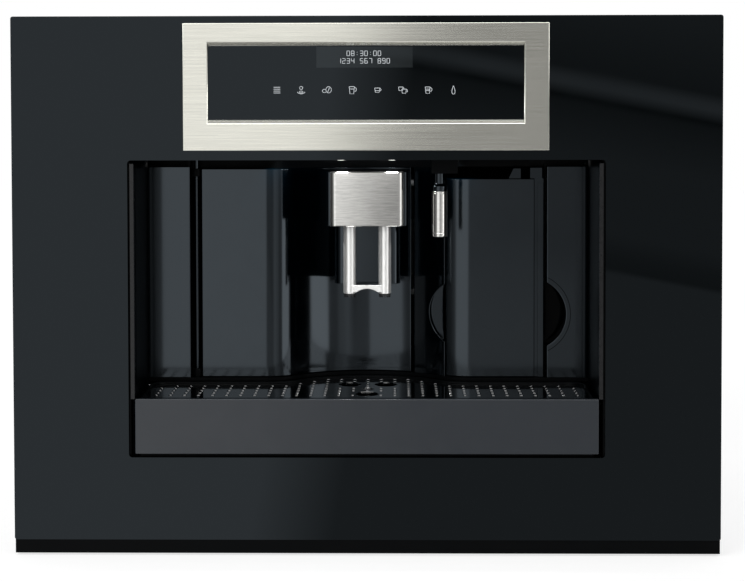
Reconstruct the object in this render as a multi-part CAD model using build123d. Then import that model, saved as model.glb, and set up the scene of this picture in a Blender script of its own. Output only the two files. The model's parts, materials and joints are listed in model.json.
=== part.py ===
"""Built-in bean-to-cup coffee machine that slides out of its cabinet on telescopic rails.

Frame: +Z up, the glass front faces -Y, +X is the viewer's right. The origin is the middle of the
footprint, on the cabinet shelf. All sizes are millimetres. Most places are given as a depth behind
the face of the front glass, which at() turns into a Y.
"""

import os
from math import atan, cos, sin

from build123d import *

# ---- Overall -------------------------------------------------------------------------------------
front_width = 597.0  # glass front, for a 600 mm wide cabinet
front_top = 456.0  # top edge of the glass above the shelf, for a 450 mm niche
total_depth = 412.0  # face of the steel surround to the rear panel
surround_proud = 6.0  # the steel surround stands this far out of the glass
shelf_clearance = 2.0  # air under the lowest edge of the front
front_thickness = 22.0  # glass and its carrier, in front of the furniture
running_gap = 0.3  # between pieces that slide or swing past each other
fit_gap = 0.05  # radial clearance of pins and plugs
rear_depth = total_depth - surround_proud  # of the rear panel, behind the face of the glass

# ---- Carcass -------------------------------------------------------------------------------------
body_half = 262.0  # outside of a side panel
sheet = 1.2  # carcass sheet steel
floor_height = 10.0  # underside of the carcass floor
body_drop = 12.0  # the top cover lies this far below the glass's top edge
body_top = front_top - body_drop
rear_gap_to_base = 5.0  # the base plate stops this far short of the rear panel

# ---- Base plate and telescopic rails ---------------------------------------------------------------
base_sheet = 1.5
base_setback = 2.0  # the base plate starts this far behind the front
rail_thickness = 12.7
rail_height = 45.0
rail_centre = 36.0  # height of the rails' centre line
rail_stop = 17.0  # the rails end this far in front of the base plate's rear edge
rail_sheet = 1.2
rail_race = 4.0  # height of a ball race with its balls
mount_hole = 5.5
mount_spacing_x = 480.0
mount_spacing_y = 300.0

# ---- Front ---------------------------------------------------------------------------------------
glass_thickness = 4.0
glass_corner = 2.0
strip_height = 11.6  # dark strip under the glass
strip_setback = 1.0
niche_half = 201.0  # cut-out in the glass
niche_floor = 83.6
niche_top = 335.0
niche_corner = 3.0
carrier_skin = 5.0
carrier_wall = 3.0

# ---- Control panel -------------------------------------------------------------------------------
surround_half = 153.0
surround_low = niche_top + 8.2
surround_high = front_top - 6.3
border_side = 21.1  # width of the frame beside, below and above the window
border_low = 25.8
border_high = 19.1
window_half = surround_half - border_side
window_low = surround_low + border_low
window_high = surround_high - border_high
window_setback = 4.0  # the dark window lies this far behind the surround's face
bevel_side = 0.8
bevel_height = 3.4
window_thickness = 2.0
window_rebate = 4.0  # the window's edge is held behind the surround by this much

# ---- Niche lining --------------------------------------------------------------------------------
liner_wall = 3.2
liner_reveal = 1.8  # the lining's outside lies this far inside the edge of the cut-out
liner_half = niche_half - liner_reveal
liner_inside = liner_half - liner_wall
trim_front = 0.8
trim_depth = 5.0
wall_depth = 88.0  # flat back walls behind the glass
hollow_depth = 126.0  # deepest line of the round hollow behind the spout
round_half = 91.0  # where the flat wall starts to curve
hollow_half = 66.0  # where the convex curve turns into the hollow
corner_round = 4.0  # side wall to back wall
ceiling = niche_top + 1.0
ceiling_sheet = 3.0
panel_top = ceiling - 11.2  # top edge of the back walls and the door
panel_low = niche_floor + 54.7  # lower edge of the back walls, the door and the tank
deck_thickness = 3.0  # shelf behind the drip tray that carries tank and brew parts
works_depth = 106.0  # space behind the bays for grinder, heater and pump
bay_back = rear_depth - works_depth  # back wall of the tank bay and the brew bay
bay_sheet = 2.0

# ---- Service door --------------------------------------------------------------------------------
left_piece = 37.4  # flat piece of the back wall left of the door
groove_left = left_piece - liner_inside  # edge of the fixed left wall
hinge_x = groove_left + 5.45
hinge_depth = wall_depth + 5.0
hinge_rod_radius = 1.85
door_left = groove_left + 10.3
door_skin = 3.0
door_rim = 10.0  # thickness of the door at its edges
knuckle_radius = 4.6
knuckle_height = 7.0

# ---- Water tank ----------------------------------------------------------------------------------
right_piece = 36.5  # flat piece of the back wall right of the tank
right_wall_left = liner_inside - right_piece
seam = 2.7  # open joint between neighbouring panels of the back wall
tank_width = 86.8
tank_right = right_wall_left - seam
tank_left = tank_right - tank_width
tank_back = bay_back - 10.0
tank_top = ceiling - 20.4
tank_wall = 2.5
cover_right = tank_right - 8.2  # right edge of the tank's front cover
cover_thickness = 4.0
strip_left = tank_right - 4.9  # narrow strip on the tank, right of its cover
tank_slack = 1.0  # between the tank and the walls of its bay
lid_thickness = 4.0
pocket_radius = 32.3
pocket_height = panel_low + 56.2
left_pocket_x = tank_left + 18.0
right_pocket_x = right_wall_left - 15.3
pocket_depth = 30.0
jamb_width = 28.4  # jamb's left edge to the tank
jamb_left = tank_left - jamb_width
door_right = jamb_left - seam

# ---- Drip tray -----------------------------------------------------------------------------------
tray_reveal = 5.4  # the tray's front ends this far inside the edge of the cut-out
tray_height = 46.4
tray_half = niche_half - tray_reveal
tray_low = niche_floor + 3.1
tray_top = tray_low + tray_height
tray_front_thickness = 5.0
tray_wall = 2.5
tray_floor = 2.5
rim_gap = 5.0  # tray's rear rim to the wall behind it
lip_height = 1.7  # rear lip above the grille
tray_corner = 16.0
grille_thickness = 1.6
hole_pitch = 12.0
hole_radius = 1.5
first_row = 19.6  # depth of the first row of holes
last_row = 103.6
hole_edge = 5.5  # least metal between a hole's centre and the grille's edge
big_hole_radius = 10.0
float_hole_radius = 5.25
float_depth = 53.0

# ---- Coffee spout --------------------------------------------------------------------------------
cover_half = 35.0
cover_height = 47.6
cover_high = ceiling - 12.3
cover_low = cover_high - cover_height
cover_front = 45.0
cover_back = 100.0
cover_sheet = 1.5
cover_round = 7.0
spout_half = 29.0
spout_round = 8.0  # upright front edges of the lower body
spout_low = cover_low - 52.1
spout_tube_x = 15.3
spout_tube_radius = 5.6
spout_tube_low = cover_low - 59.4
spout_tube_depth = 57.0
nozzle_length = 3.2
spout_travel = 28.0
tongue_half = 5.5
tongue_height = 28.0

# ---- Hot-water spout -----------------------------------------------------------------------------
sleeve_radius = 6.7
sleeve_length = 39.3
sleeve_gap = 0.4  # the tank slides past the sleeve with this much air
hot_x = tank_left - sleeve_radius - sleeve_gap
hot_depth = 46.0
block_low = ceiling - 13.7
collar_high = block_low - 10.7
sleeve_high = collar_high - 4.9
sleeve_low = sleeve_high - sleeve_length
neck_radius = 4.5
plug_radius = 3.0
plug_length = 9.0

# ---- Ceiling lamps -------------------------------------------------------------------------------
lamp_x = 21.8
lamp_depth = 25.0
lamp_radius = 8.0
lamp_drop = 2.0

# ---- Works ---------------------------------------------------------------------------------------
brew_x = 0.0  # the brewing chamber and the grinder share one centre plane
brew_back = bay_back - 14.0
brew_depth = brew_back - 71.0
brew_front = hollow_depth + 20.0
brew_low = panel_low + 67.7
brew_high = ceiling - 24.0
brew_half = 56.0
brew_wall = 5.0
chamber_radius = 22.0
chamber_wall = 5.0
piston_height = 18.0
piston_travel = 30.0
grounds_left = groove_left + 20.6
grounds_right = tank_left - 36.0
grounds_front = hollow_depth + 14.0
grounds_high = brew_low - 6.0
grinder_depth = rear_depth - 58.0
grinder_radius = 42.0
grinder_height = 48.0
grinder_low = ceiling - 18.0
grinder_high = grinder_low + grinder_height
motor_radius = 33.0
motor_length = 93.0
motor_low = grinder_low - motor_length
burr_radius = 27.0
burr_shaft_radius = 5.0
hopper_half = 88.0
hopper_x = -40.0
hopper_length = 170.0
hopper_back = rear_depth - 10.0
hopper_front = hopper_back - hopper_length
hopper_wall = 3.0
hopper_shoulder = grinder_high + 24.0
lid_proud = 3.0  # lids and knob above the top cover
funnel_x = -20.0
funnel_half = 27.0
funnel_depth = hopper_front - funnel_half - 19.0
funnel_throat = 14.0
knob_radius = 14.0
knob_height = 16.0
knob_high = body_top - 10.0
knob_low = knob_high - knob_height
hinge_pin_radius = 1.5
lid_sheet = 3.0
heater_x = tank_right - 44.8
pump_x = heater_x
pump_depth = rear_depth - 54.0
pump_height = 66.0
pump_radius = 21.0
pump_half = 38.0
heater_half = 38.0
heater_low = 205.0
heater_height = 91.0
heater_high = heater_low + heater_height
inlet_inset = 40.0  # from the outside of the left side panel
inlet_to_switch = 44.0
inlet_x = inlet_inset - body_half
inlet_height = 64.0
switch_x = inlet_x + inlet_to_switch
hose_radius = 3.5

glass_face = surround_proud - total_depth / 2
glass_low = shelf_clearance + strip_height
flange_half = body_half + rail_thickness + base_sheet
deck_top = panel_low - 0.5
turn = 2 * atan((hollow_depth - wall_depth) / round_half)
hollow_radius = hollow_half / sin(turn)
convex_radius = round_half / sin(turn) - hollow_radius


def at(depth):
    """Y of a depth behind the face of the glass."""
    return glass_face + depth


def block(x0, x1, d0, d1, z0, z1):
    """Box between two X, two depths and two heights."""
    return Pos((x0 + x1) / 2, at((d0 + d1) / 2), (z0 + z1) / 2) * Box(x1 - x0, d1 - d0, z1 - z0)


def rod(x, depth, z0, z1, radius):
    """Upright round bar."""
    return Pos(x, at(depth), (z0 + z1) / 2) * Cylinder(radius, z1 - z0)


def rod_back(x, z, d0, d1, radius):
    """Round bar that runs from front to back."""
    return Pos(x, at((d0 + d1) / 2), z) * Rot(90, 0, 0) * Cylinder(radius, d1 - d0)


def rod_across(depth, z, x0, x1, radius):
    """Round bar that runs from left to right."""
    return Pos((x0 + x1) / 2, at(depth), z) * Rot(0, 90, 0) * Cylinder(radius, x1 - x0)


def raise_plan(plan, z0, z1):
    """Extrude a face drawn in X and depth between two heights."""
    return extrude(Plane((0, glass_face, z0)) * plan, z1 - z0)


def push_back(front, d0, d1):
    """Extrude a face drawn in X and height between two depths."""
    plane = Plane(origin=(0, at(d1), 0), x_dir=(1, 0, 0), z_dir=(0, -1, 0))
    return extrude(plane * front, d1 - d0)


def slide_across(side, x0, x1):
    """Extrude a face drawn in depth and height between two X."""
    plane = Plane(origin=(x0, glass_face, 0), x_dir=(0, 1, 0), z_dir=(1, 0, 0))
    return extrude(plane * side, x1 - x0)


def panel(x0, x1, z0, z1, corner=0.0):
    """Rectangle in X and height, with its corners rounded if asked."""
    width, height = x1 - x0, z1 - z0
    outline = RectangleRounded(width, height, corner) if corner else Rectangle(width, height)
    return Pos((x0 + x1) / 2, (z0 + z1) / 2) * outline


def both_sides(shape):
    """The shape and its mirror image across the middle of the machine."""
    return shape, mirror(shape, Plane.YZ)


def wall_line(offset, half):
    """Front line of the back walls seen from above, moved forward by offset: flat, convex, hollow,
    convex, flat. Returns its edges from left to right."""
    flat = wall_depth - offset
    convex, hollow = convex_radius + offset, hollow_radius - offset
    bottom = hollow_depth - offset

    def on_convex(angle):
        return round_half - convex * sin(angle), flat + convex * (1 - cos(angle))

    x_mid, d_mid = on_convex(turn / 2)
    x_end, d_end = on_convex(turn)
    return [
        Line((-half, flat), (-round_half, flat)),
        ThreePointArc((-round_half, flat), (-x_mid, d_mid), (-x_end, d_end)),
        ThreePointArc((-x_end, d_end), (0, bottom), (x_end, d_end)),
        ThreePointArc((x_end, d_end), (x_mid, d_mid), (round_half, flat)),
        Line((round_half, flat), (half, flat)),
    ]


def behind_wall(offset, back, half=liner_half):
    """Plan of everything between the wall line and a straight line at depth back."""
    flat = wall_depth - offset
    sides = [Polyline((half, flat), (half, back), (-half, back), (-half, flat))]
    return make_face(wall_line(offset, half) + sides)


def in_front_of_wall(offset, front, half):
    """Plan of everything between a straight line at depth front and the wall line."""
    flat = wall_depth - offset
    sides = [Polyline((half, flat), (half, front), (-half, front), (-half, flat))]
    return make_face(wall_line(offset, half) + sides)


def wall_band(front_offset, thickness):
    """Plan of a curved wall of even thickness that follows the wall line."""
    far = hollow_depth + thickness + 40
    return behind_wall(front_offset, far) - behind_wall(front_offset - thickness, far + 1)


os.makedirs("parts", exist_ok=True)


def save(name, *solids):
    """Write one sub-part, whose solids stay separate."""
    shape = solids[0] if len(solids) == 1 else Compound(children=list(solids))
    export_step(shape, f"parts/{name}.step")
    return shape


# ---- Base plate and rails --------------------------------------------------------------------------
base_front = front_thickness + base_setback
base_back = rear_depth - rear_gap_to_base
rail_front = base_front + 8
rail_length = base_back - rail_front - rail_stop
flange_top = rail_centre + rail_height / 2 + 3


def base_plate():
    """Sheet that is screwed to the shelf, with two upturned sides that carry the rails."""
    floor = block(-flange_half, flange_half, base_front, base_back, 0, base_sheet)
    side = block(flange_half - base_sheet, flange_half, base_front, base_back, 0, flange_top)
    stiffener = block(-flange_half, flange_half, base_back - base_sheet, base_back, 0, floor_height - 2)
    plate = floor + side + mirror(side, Plane.YZ) + stiffener
    for x in (-mount_spacing_x / 2, mount_spacing_x / 2):
        for y in (-mount_spacing_y / 2, mount_spacing_y / 2):
            plate -= Pos(x, y, base_sheet / 2) * Cylinder(mount_hole / 2, 3 * base_sheet)
    return plate


def rail(web_at, lip_from, height, lip):
    """One member of the right-hand rail: an upright web with a lip above and below. web_at and
    lip_from are measured from the side of the base plate, inwards."""
    outer = flange_half - base_sheet
    d0, d1 = rail_front, rail_front + rail_length
    low, high = rail_centre - height / 2, rail_centre + height / 2
    lip_to = max(web_at + rail_sheet, rail_thickness - 3 * rail_sheet)
    web = block(outer - web_at - rail_sheet, outer - web_at, d0, d1, low, high)
    lower_lip = block(outer - lip_to, outer - lip_from, d0, d1, low, low + lip)
    upper_lip = block(outer - lip_to, outer - lip_from, d0, d1, high - lip, high)
    return web + lower_lip + upper_lip


nest = (rail_thickness - 2 * rail_sheet) / 2  # web of the middle member
middle_height = rail_height - 2 * rail_sheet - 2 * running_gap
inner_height = middle_height - 2 * rail_race - 2 * running_gap
outer_rail = rail(0, 0, rail_height, rail_sheet)
middle_rail = rail(nest, 2 * rail_sheet, middle_height, rail_race)
inner_rail = rail(
    rail_thickness - rail_sheet, nest + rail_sheet + running_gap, inner_height, rail_race
)
save("base_plate", base_plate())
save("outer_rails", *both_sides(outer_rail))
save("middle_rails", *both_sides(middle_rail))
save("inner_rails", *both_sides(inner_rail))


# ---- Carcass ---------------------------------------------------------------------------------------
carcass_front = front_thickness
panel_back = rear_depth - sheet
top_opening_half = hopper_half - 14
top_opening_front = hopper_front + 20
top_opening_back = hopper_back - 18
floor_slot_pitch = 22.0
floor_slot_front = carcass_front + 128
floor_slot_back = floor_slot_front + 80
vent_half = 36.0  # half of a vent slot's length, and of its height
vent_rise = 3.0
vent_low = body_top - 194.0


def carcass_floor():
    """Flat floor with a folded front edge and slots that let warm air in."""
    floor = block(-body_half, body_half, carcass_front, panel_back, floor_height, floor_height + sheet)
    low, high = floor_height - 1, floor_height + sheet + 1
    for index in range(-4, 5):
        x = index * floor_slot_pitch
        floor -= block(x - 3, x + 3, floor_slot_front, floor_slot_back, low, high)
    return floor


def side_panel():
    """Right side panel, which stands on the floor and carries the inner rail on its outside."""
    return block(
        body_half - sheet, body_half, carcass_front, panel_back, floor_height + sheet, body_top - sheet
    )


def rear_panel():
    """Rear panel with the openings for the mains inlet and switch and a field of vent slots."""
    back = block(-body_half, body_half, panel_back, rear_depth, floor_height, body_top)
    back -= inlet_opening(running_gap)
    back -= switch_opening(running_gap)
    for row in range(7):
        z = vent_low + row * 6 * vent_rise
        for column in (-1.5, -0.5, 0.5, 1.5):
            x = column * (2 * vent_half + 28)
            slot = panel(x - vent_half, x + vent_half, z - vent_rise, z + vent_rise, vent_rise - 0.1)
            back -= push_back(slot, panel_back - 1, rear_depth + 1)
    return back


def inlet_opening(gap):
    """Space that the body of the mains inlet takes in the rear panel."""
    half_w, half_h = 24.0 + gap, 15.0 + gap
    front = panel(inlet_x - half_w, inlet_x + half_w, inlet_height - half_h, inlet_height + half_h, 3)
    return push_back(front, panel_back - 22, rear_depth)


def switch_opening(gap):
    """Space that the housing of the mains switch takes in the rear panel."""
    half_w, half_h = 11.0 + gap, 15.0 + gap
    front = panel(switch_x - half_w, switch_x + half_w, inlet_height - half_h, inlet_height + half_h)
    return push_back(front, panel_back - 20, rear_depth)


def mains_inlet():
    """Three-pin appliance inlet, with the housing of the rocker switch beside it."""
    body = inlet_opening(0)
    cavity = panel(inlet_x - 12, inlet_x + 12, inlet_height - 8, inlet_height + 8, 3)
    body -= push_back(cavity, rear_depth - 16, rear_depth + 1)
    for x, z in ((-7.0, -2.0), (7.0, -2.0), (0.0, 2.0)):
        x, z = inlet_x + x, inlet_height + z
        body += block(x - 1, x + 1, rear_depth - 17, rear_depth - 4, z - 2, z + 2)
    housing = switch_opening(0)
    housing -= block(
        switch_x - rocker_half - running_gap, switch_x + rocker_half + running_gap,
        rear_depth - 14, rear_depth + 1, inlet_height - 12, inlet_height + 12,
    )
    bearing = rod_across(rocker_depth, inlet_height, switch_x - 10, switch_x + 10, 1.5 + fit_gap)
    return body, housing - bearing


rocker_half = 7.5
rocker_depth = rear_depth - 7.0


def rocker():
    """Rocker key on its cross pin."""
    side = Polyline(
        (rocker_depth - 4, inlet_height - 4), (rocker_depth + 4, inlet_height - 10.5),
        (rocker_depth + 6.2, inlet_height - 10.5), (rocker_depth + 4.6, inlet_height),
        (rocker_depth + 6.2, inlet_height + 10.5), (rocker_depth + 4, inlet_height + 10.5),
        (rocker_depth - 4, inlet_height + 4), close=True,
    )
    key = slide_across(make_face(side), switch_x - rocker_half, switch_x + rocker_half)
    return key + rod_across(rocker_depth, inlet_height, switch_x - 9.5, switch_x + 9.5, 1.5)


def top_cover():
    """Top sheet with the openings over the bean hopper and the ground-coffee funnel."""
    top = block(-body_half, body_half, carcass_front, panel_back, body_top - sheet, body_top)
    top -= block(
        hopper_x - top_opening_half, hopper_x + top_opening_half, top_opening_front,
        top_opening_back, body_top - 3, body_top + 1,
    )
    return top - block(
        funnel_x - funnel_half + 2, funnel_x + funnel_half - 2, funnel_depth - funnel_half + 2,
        funnel_depth + funnel_half - 2, body_top - 3, body_top + 1,
    )


save("carcass_floor", carcass_floor())
save("side_panels", *both_sides(side_panel()))
save("rear_panel", rear_panel())
save("mains_inlet", *mains_inlet())
save("power_switch", rocker())
save("top_cover", top_cover())


# ---- Front -----------------------------------------------------------------------------------------
def fascia_glass():
    """Glass front with the niche cut out of it and the opening for the control panel."""
    half = front_width / 2
    front = panel(-half, half, glass_low, front_top, glass_corner)
    front -= panel(-niche_half, niche_half, niche_floor, niche_top, niche_corner)
    front -= panel(
        -surround_half + surround_lap, surround_half - surround_lap,
        surround_low + surround_lap, surround_high - surround_lap,
    )
    return push_back(front, 0, glass_thickness)


def fascia_carrier():
    """Moulded carrier behind the glass: a skin with a wall round its edge and round each opening,
    and two ribs that the side panels butt against."""
    half, low, high = front_width / 2 - 3, glass_low, front_top - 3
    window = liner_half + running_gap
    front = panel(-half, half, low, high)
    d0, d1 = glass_thickness, front_thickness
    skin = push_back(front, d0, d0 + carrier_skin)
    wall = carrier_wall
    edge = push_back(front - panel(-half + wall, half - wall, low + wall, high - wall), d0, d1)
    round_niche = panel(-window - wall, window + wall, niche_low - wall, liner_high + wall)
    control_half = surround_half - surround_lap + wall
    control_low = surround_low + surround_lap
    control_high = surround_high - surround_lap + wall
    round_control = panel(-control_half, control_half, liner_high, control_high)
    carrier = skin + edge + push_back(round_niche, d0, d1) + push_back(round_control, d0, d1)
    rib = block(body_half - wall, body_half + wall, d0, d1, low, high)
    carrier += rib
    carrier += mirror(rib, Plane.YZ)
    carrier -= push_back(panel(-window, window, niche_low, liner_high), d0 - 1, d1 + 1)
    control = panel(-control_half + wall, control_half - wall, control_low, control_high - wall)
    carrier -= push_back(control, d0 - 1, d1 + 1)
    lamp_half = 2 * lamp_x + 1
    return carrier - block(-lamp_half, lamp_half, lamp_front - 1, d1 + 1, liner_high, liner_high + 5)


def lower_strip():
    """Dark strip under the glass, just behind its face."""
    half = front_width / 2 - 0.5
    return block(-half, half, strip_setback, front_thickness, shelf_clearance, glass_low)


def control_surround():
    """Brushed steel frame: a face with a bevelled opening, and a collar in the glass's cut-out."""
    face = panel(-surround_half, surround_half, surround_low, surround_high, 1.0)
    collar = panel(
        -surround_half + surround_lap + running_gap, surround_half - surround_lap - running_gap,
        surround_low + surround_lap + running_gap, surround_high - surround_lap - running_gap,
    )
    frame = push_back(face, -surround_proud, 0) + push_back(collar, 0, glass_thickness)
    middle = (window_low + window_high) / 2
    inner = Rectangle(2 * window_half, window_high - window_low)
    outer = Rectangle(2 * (window_half + bevel_side), window_high - window_low + 2 * bevel_height)
    plane = Plane(origin=(0, at(window_front), middle), x_dir=(1, 0, 0), z_dir=(0, -1, 0))
    bevel = loft([plane * inner, plane.offset(window_setback) * outer])
    rebate = panel(
        -window_edge, window_edge, window_low - window_rebate, window_high + window_rebate
    )
    return frame - bevel - push_back(rebate, window_front, glass_thickness + 1)


def display_window():
    """Dark glass behind the surround."""
    edge = window_rebate - running_gap
    front = panel(-window_half - edge, window_half + edge, window_low - edge, window_high + edge)
    return push_back(front, window_front, window_front + window_thickness)


def display_board():
    """Display and touch sensors on one board, behind the window."""
    d0 = window_front + window_thickness
    board = block(-window_half, window_half, d0 + 4, d0 + 5.6, window_low, window_high)
    display = block(-display_half, display_half, d0, d0 + 4, window_high - 24, window_high - 1)
    touch = block(-window_half + 24, window_half - 24, d0, d0 + 4, window_low + 16, window_low + 34)
    bezel = block(-window_half, window_half, d0 + 5.6, d0 + 14, window_low, window_low + 4)
    return board + display + touch + bezel


surround_lap = 8.0  # the surround covers the edge of the glass's cut-out by this much
window_front = window_setback - surround_proud
window_edge = window_half + window_rebate
display_half = 45.0
niche_low = niche_floor - ceiling_sheet
lamp_front = lamp_depth - 14
liner_high = ceiling + ceiling_sheet
save("fascia_glass", fascia_glass())
save("fascia_carrier", fascia_carrier())
save("lower_strip", lower_strip())
save("control_surround", control_surround())
save("display_window", display_window())


# ---- Niche lining ----------------------------------------------------------------------------------
liner_front = trim_front + trim_depth
back_face = wall_depth + liner_wall
tank_wall_right = right_wall_left + bay_sheet
divider_right = tank_left - tank_slack
jamb_back = hollow_depth + 4
pocket_back = wall_depth + pocket_depth
bay_rear = bay_back + bay_sheet
chute_half = 12.0
chute_low = brew_high + 1
tank_middle = (tank_left + tank_right) / 2
nozzle_height = panel_low + 14
nozzle_radius = 4.0


def corner_wall(edge):
    """Left side wall and the piece of back wall that it rounds into, which ends at X = edge."""
    outline = Polyline(
        (-liner_half, liner_front), (-liner_inside, liner_front), (-liner_inside, wall_depth),
        (edge, wall_depth), (edge, back_face), (-liner_half, back_face), close=True,
    )
    plan = make_face(outline)
    inner = plan.vertices().sort_by_distance((-liner_inside, wall_depth))[0]
    plan = fillet(inner, corner_round)
    outer = plan.vertices().sort_by_distance((-liner_half, back_face))[0]
    plan = fillet(outer, corner_round + liner_wall)
    wall = raise_plan(plan, niche_floor, ceiling)
    reach = wall_depth - corner_round - 1
    wall -= block(-liner_inside, edge + 1, reach, back_face + 1, niche_floor - 1, deck_top)
    return wall - block(-liner_inside, edge + 1, reach, back_face + 1, panel_top, ceiling + 1)


def niche_right_wall():
    """Right side wall, with the thick piece beside the tank that the right finger pocket is cut in."""
    wall = mirror(corner_wall(-right_wall_left), Plane.YZ)
    boss_right = right_pocket_x + pocket_radius + 5
    wall += block(
        right_wall_left, boss_right, wall_depth, pocket_back + liner_wall, deck_top, panel_top
    )
    dish = rod_back(right_pocket_x, pocket_height, wall_depth - 1, pocket_back, pocket_radius)
    return wall - dish


def centre_jamb():
    """Fixed piece of the curved back wall between the door and the tank, with the left pocket."""
    jamb = raise_plan(behind_wall(0, jamb_back), deck_top, panel_top)
    jamb &= block(jamb_left, divider_right, 0, jamb_back, deck_top, panel_top)
    dish = rod_back(left_pocket_x, pocket_height, 0, pocket_back, pocket_radius)
    return jamb - dish


def niche_ceiling():
    """Ceiling of the niche and of the bays behind it, with its holes for lamps, pipe and funnel."""
    top = block(-liner_half, liner_half, liner_front, bay_rear, ceiling, liner_high)
    for x in (-lamp_x, lamp_x):
        top -= rod(x, lamp_depth, ceiling - 1, liner_high + 1, lamp_radius + running_gap)
    top -= rod(hot_x, hot_depth, ceiling - 1, liner_high + 1, hose_radius + running_gap)
    throat = funnel_throat + running_gap
    return top - block(
        funnel_x - throat, funnel_x + throat, funnel_depth - throat, funnel_depth + throat,
        ceiling - 1, liner_high + 1,
    )


def service_deck():
    """Shelf behind the drip tray, with its front edge on the wall line."""
    plan = behind_wall(1, bay_rear, liner_inside)
    return raise_plan(plan, deck_top - deck_thickness, deck_top)


def tray_bay():
    """Floor and back wall of the space that the drip tray slides into."""
    d0, d1 = hollow_depth + 1, jamb_back
    floor = block(-liner_half, liner_half, liner_front, d1, niche_low, niche_floor)
    back = block(-liner_inside, liner_inside, d0, d1, niche_floor, deck_top - deck_thickness)
    return floor + back


def bay_walls():
    """Sheet walls round the brew bay and the tank bay, and the back wall behind both."""
    z0, z1 = deck_top, ceiling
    left = block(groove_left - bay_sheet, groove_left, back_face, bay_back, z0, z1)
    divider = block(divider_right - bay_sheet, divider_right, jamb_back, bay_back, z0, z1)
    right_front = pocket_back + liner_wall
    right = block(right_wall_left, tank_wall_right, right_front, bay_back, z0, z1)
    back = block(groove_left - bay_sheet, tank_wall_right, bay_back, bay_rear, z0, z1)
    gap = running_gap
    back -= block(
        brew_x - chute_half - gap, brew_x + chute_half + gap, bay_back - 1, bay_rear + 1,
        chute_low - gap, z1 + 1,
    )
    return back - rod_back(tank_middle, nozzle_height, bay_back - 1, bay_rear + 1, nozzle_radius), (
        left, divider, right
    )


def edge_trim():
    """Bright strip on the front edge of the right side wall, above the tray."""
    top = niche_top - niche_corner
    return block(liner_inside, liner_half, trim_front, liner_front, tray_top, top)


def lamp_lenses():
    """Two domed lenses in the ceiling."""
    radius = (lamp_radius**2 + lamp_drop**2) / (2 * lamp_drop)
    lenses = []
    for x in (-lamp_x, lamp_x):
        ball = Pos(x, at(lamp_depth), ceiling + radius - lamp_drop) * Sphere(radius)
        dome = ball & rod(x, lamp_depth, ceiling - 2 * lamp_drop, ceiling, lamp_radius)
        lenses.append(dome + rod(x, lamp_depth, ceiling, liner_high + 2, lamp_radius))
    return lenses


def lamp_board():
    """Board with the lamps' light sources, on two posts above the ceiling."""
    z0 = liner_high + 2
    board = block(-2 * lamp_x, 2 * lamp_x, lamp_front, lamp_depth + 14, z0, z0 + 1.6)
    for x in (-2 * lamp_x + 5, 2 * lamp_x - 5):
        board += block(x - 2, x + 2, lamp_depth - 2, lamp_depth + 2, liner_high, z0)
    return board


def hot_water_block():
    """Outlet block under the ceiling, with the socket that the hot-water spout plugs into."""
    outlet = block(hot_x - 7, hot_x + 15.4, hot_depth - 12, hot_depth + 22, block_low, ceiling)
    return outlet - rod(hot_x, hot_depth, block_low - 1, block_low + plug_length + 1, plug_radius + fit_gap)


back_wall, side_sheets = bay_walls()
left_wall = corner_wall(groove_left)
save("niche_left_wall", left_wall)
save("niche_right_wall", niche_right_wall())
save("centre_jamb", centre_jamb())
save("niche_ceiling", niche_ceiling())
save("tray_housing", service_deck(), tray_bay())
save("bay_walls", back_wall, *side_sheets)
save("edge_trims", *both_sides(edge_trim()))
save("lamp_lenses", *lamp_lenses())
save("control_boards", display_board(), lamp_board())
save("hot_water_block", hot_water_block())
save("door_hinge_rod", rod(hinge_x, hinge_depth, deck_top, ceiling, hinge_rod_radius))


# ---- Service door and coffee spout -----------------------------------------------------------------
slot_high = cover_high - 8
slot_low = slot_high - tongue_height - spout_travel - 2
tongue_high = slot_high - 1


def service_door():
    """Curved door: a skin with a rim round its back, two knuckles on the hinge rod, and the slot
    that the spout's tongue slides in."""
    solid = raise_plan(wall_band(0, door_rim), panel_low, panel_top)
    door = solid & block(door_left, door_right, 0, hollow_depth + 20, panel_low, panel_top)
    back = raise_plan(wall_band(-door_skin, door_rim), panel_low + door_skin, panel_top - door_skin)
    door -= back & block(
        door_left + door_skin, door_right - door_skin, 0, hollow_depth + 20, panel_low, panel_top
    )
    for z in (panel_low, panel_top - knuckle_height):
        door += rod(hinge_x, hinge_depth, z, z + knuckle_height, knuckle_radius)
        door += block(
            hinge_x, door_left + 1, hinge_depth, hinge_depth + knuckle_radius, z, z + knuckle_height
        )
    door -= rod(hinge_x, hinge_depth, panel_low - 1, panel_top + 1, hinge_rod_radius + fit_gap)
    half = tongue_half + running_gap
    return door - block(
        -half, half, hollow_depth - 5, hollow_depth + door_skin + 1, slot_low, slot_high
    )


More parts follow.
